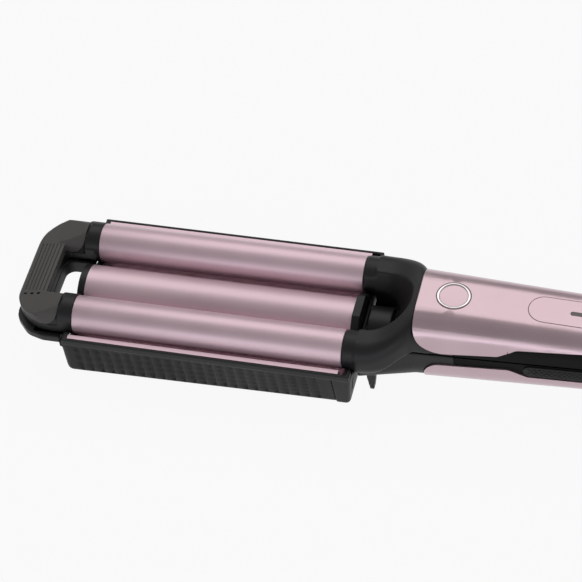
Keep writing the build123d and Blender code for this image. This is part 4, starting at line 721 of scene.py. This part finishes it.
def screw(x, y, z_head, length):
    """Pan-head screw from below with a cross recess, driven upwards."""
    centre = Vector((x, y, z_head))
    end = HEAD_HEIGHT + length
    blank = turned([(0.35, 0), (0, 0.4), (0, HEAD_R - 0.7), (0.2, HEAD_R - 0.25), (0.55, HEAD_R),
                    (HEAD_HEIGHT, HEAD_R), (HEAD_HEIGHT, SHANK_R), (end - SHANK_POINT, SHANK_R),
                    (end, SHANK_R - SHANK_POINT), (end, 0)], centre, UP, 48)
    return combined(blank, ("DIFFERENCE", block((RECESS_WIDE, RECESS_LONG, RECESS_DEEP), centre)),
                    ("DIFFERENCE", block((RECESS_LONG, RECESS_WIDE, RECESS_DEEP), centre)))


bridge_screws = [screw(BRIDGE_SCREW_X, side * BRIDGE_SCREW_Y, BRIDGE_BASE, 4.0) for side in (-1, 1)]
finish_piece(joined(bridge_screws), "bridge_screws_turned", "upper_arm", "bright_steel", ("bridge_screws",))
handle_screws = [screw(X_HANDLE + along, 0, under_handle(X_HANDLE + along) + HANDLE_SCREW_SINK, 8.0)
                 for along in HANDLE_SCREWS_AT]
finish_piece(joined(handle_screws), "handle_screws_turned", "lower_arm", "bright_steel", ("handle_screws",))

PIN_HALF, PIN_R, PIN_CHAMFER = 8.8, 2.0, 0.4
pin = turned([(-PIN_HALF, 0), (-PIN_HALF, PIN_R - PIN_CHAMFER), (PIN_CHAMFER - PIN_HALF, PIN_R),
              (PIN_HALF - PIN_CHAMFER, PIN_R), (PIN_HALF, PIN_R - PIN_CHAMFER), (PIN_HALF, 0)],
             Vector((HINGE_X, 0, HINGE_Z)), ACROSS, 48)
finish_piece(pin, "hinge_pin_turned", "lower_arm", "bright_steel", ("hinge_pin",))

# Hinge spring: a coil seated in both arms' cups; it rides on neither arm
SPRING_X = HINGE_X - 26.0
COIL_R, WIRE_R, TURNS = 3.7, 0.5, 5
COIL_Z0, COIL_Z1, CUP_DEPTH = 23.6, 37.5, 1.0
COIL_STEPS = 32 * TURNS
coil = bmesh.new()
wire = bmesh.ops.create_circle(coil, cap_ends=True, cap_tris=False, segments=12, radius=WIRE_R)["verts"]
bmesh.ops.rotate(coil, verts=wire, matrix=Matrix.Rotation(pi / 2, 3, "X"))
bmesh.ops.translate(coil, verts=wire, vec=(SPRING_X + COIL_R, 0, COIL_Z0))
bmesh.ops.spin(coil, geom=coil.verts[:] + coil.edges[:] + coil.faces[:], cent=(SPRING_X, 0, 0), axis=UP,
               angle=2 * pi * TURNS, steps=COIL_STEPS, dvec=(0, 0, (COIL_Z1 - COIL_Z0) / COIL_STEPS))
bmesh.ops.scale(coil, verts=coil.verts, vec=(MM, MM, MM))
spring = finish_piece(coil, "hinge_spring_coil", None, "spring_steel", ("hinge_spring",), 60.0)
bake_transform(spring)

# Gland: flange inside the collar, a waist, then three rings that let it flex
GLAND_Z = 27.0
RING_TAPER = 0.072
GLAND = [(-5.4, 3.2), (-5.4, 6.3), (-5.1, 6.6), (-3.0, 6.6), (-3.0, 5.0), (0.3, 5.0), (0.3, 6.2), (0.5, 6.4)]
for ring_start in (1.9, 3.9, 5.9):
    radius = 6.4 - RING_TAPER * ring_start
    GLAND += [(ring_start, radius), (ring_start + 0.2, radius - 0.7), (ring_start + 0.8, radius - 0.7),
              (ring_start + 1.0, radius - 0.08)]
GLAND += [(8.4, 5.8), (9.3, 5.3), (9.9, 4.5), (10.0, 4.1), (10.0, 3.5), (9.8, 3.2)]
finish_piece(turned(GLAND, Vector((X_END, 0, GLAND_Z)), LENGTHWISE), "swivel_gland_turned", "swivel_gland",
             "black_gland", ("swivel_gland",))

# ------------------------------------------------------------------ floor, light and camera, in metres
FLOOR_HALF, FLOOR_DROP = 6.0, 0.0001
FLOOR_LIFT = 0.93  # how far the floor shows as white to the eye and in reflections
bm = bmesh.new()
bmesh.ops.create_grid(bm, x_segments=1, y_segments=1, size=FLOOR_HALF)
bmesh.ops.translate(bm, verts=bm.verts, vec=(0, 0, -FLOOR_DROP))
floor = as_object(bm, "floor")
sheet, tree, bsdf = material("white_paper_sweep", {"Base Color": colour("#B4B4B4"), "Roughness": 0.9,
                                                   "Specular IOR Level": 0.1})
seen = add_node(tree, "LightPath")
mirrored = add_node(tree, "Math", {"operation": "MAXIMUM"})
tree.links.new(seen.outputs["Is Glossy Ray"], mirrored.inputs[0])
tree.links.new(seen.outputs["Is Transmission Ray"], mirrored.inputs[1])
shown = add_node(tree, "Math", {"operation": "MAXIMUM"})
tree.links.new(seen.outputs["Is Camera Ray"], shown.inputs[0])
tree.links.new(mirrored.outputs[0], shown.inputs[1])
lift = add_node(tree, "Math", {"operation": "MULTIPLY"})
tree.links.new(shown.outputs[0], lift.inputs[0])
lift.inputs[1].default_value = FLOOR_LIFT
bright = add_node(tree, "Emission", {"Color": (1, 1, 1, 1), "Strength": 1.0})
blend = add_node(tree, "MixShader", None, Fac=(lift, "Value"))
tree.links.new(bsdf.outputs[0], blend.inputs[1])
tree.links.new(bright.outputs[0], blend.inputs[2])
tree.links.new(blend.outputs[0], tree.nodes["Material Output"].inputs["Surface"])
floor.data.materials.append(sheet)

world = bpy.data.worlds.new("studio")
bpy.context.scene.world = world
world.use_nodes = True
tree = world.node_tree
tree.nodes.clear()
fill = add_node(tree, "Background", {"Color": (1, 1, 1, 1), "Strength": 0.28})
add_node(tree, "OutputWorld", None, Surface=(fill, "Background"))


def softbox(name, place, target, width, height, watts, tint):
    """Rectangular lamp at a place, facing its target."""
    lamp = bpy.data.lights.new(name, "AREA")
    lamp.shape, lamp.color = "RECTANGLE", tint
    lamp.size, lamp.size_y, lamp.energy = width, height, watts
    holder = bpy.data.objects.new(name, lamp)
    holder.location = place
    holder.rotation_euler = (Vector(target) - Vector(place)).to_track_quat("-Z", "Y").to_euler()
    bpy.context.scene.collection.objects.link(holder)


LIT_POINT = (0, 0, 0.03)
softbox("overhead_softbox", (0.0, 0.75, 1.15), LIT_POINT, 2.4, 1.1, 11, (1.0, 0.99, 0.98))
softbox("front_strip", (0.0, -1.4, 0.34), LIT_POINT, 2.4, 0.4, 6.5, (0.92, 0.95, 1.0))

# Camera: above the right-hand side, a little turned, with the handle's rear half out of its view.
# Its lens and sensor are in millimetres.
EYE_PLACE = Vector((0.22623, -0.7778, 0.96981))
EYE_TILT, EYE_ROLL, EYE_TURN = radians(41.2626), radians(4.9205), radians(13.5958)
eye = bpy.data.cameras.new("camera")
eye.lens, eye.sensor_width = 158.69, 36.0
camera = bpy.data.objects.new("camera", eye)
camera.matrix_world = Matrix.LocRotScale(EYE_PLACE, Euler((EYE_TILT, EYE_ROLL, EYE_TURN)), None)
bpy.context.scene.collection.objects.link(camera)
bpy.context.scene.camera = camera
bpy.context.scene.view_settings.view_transform = "Standard"
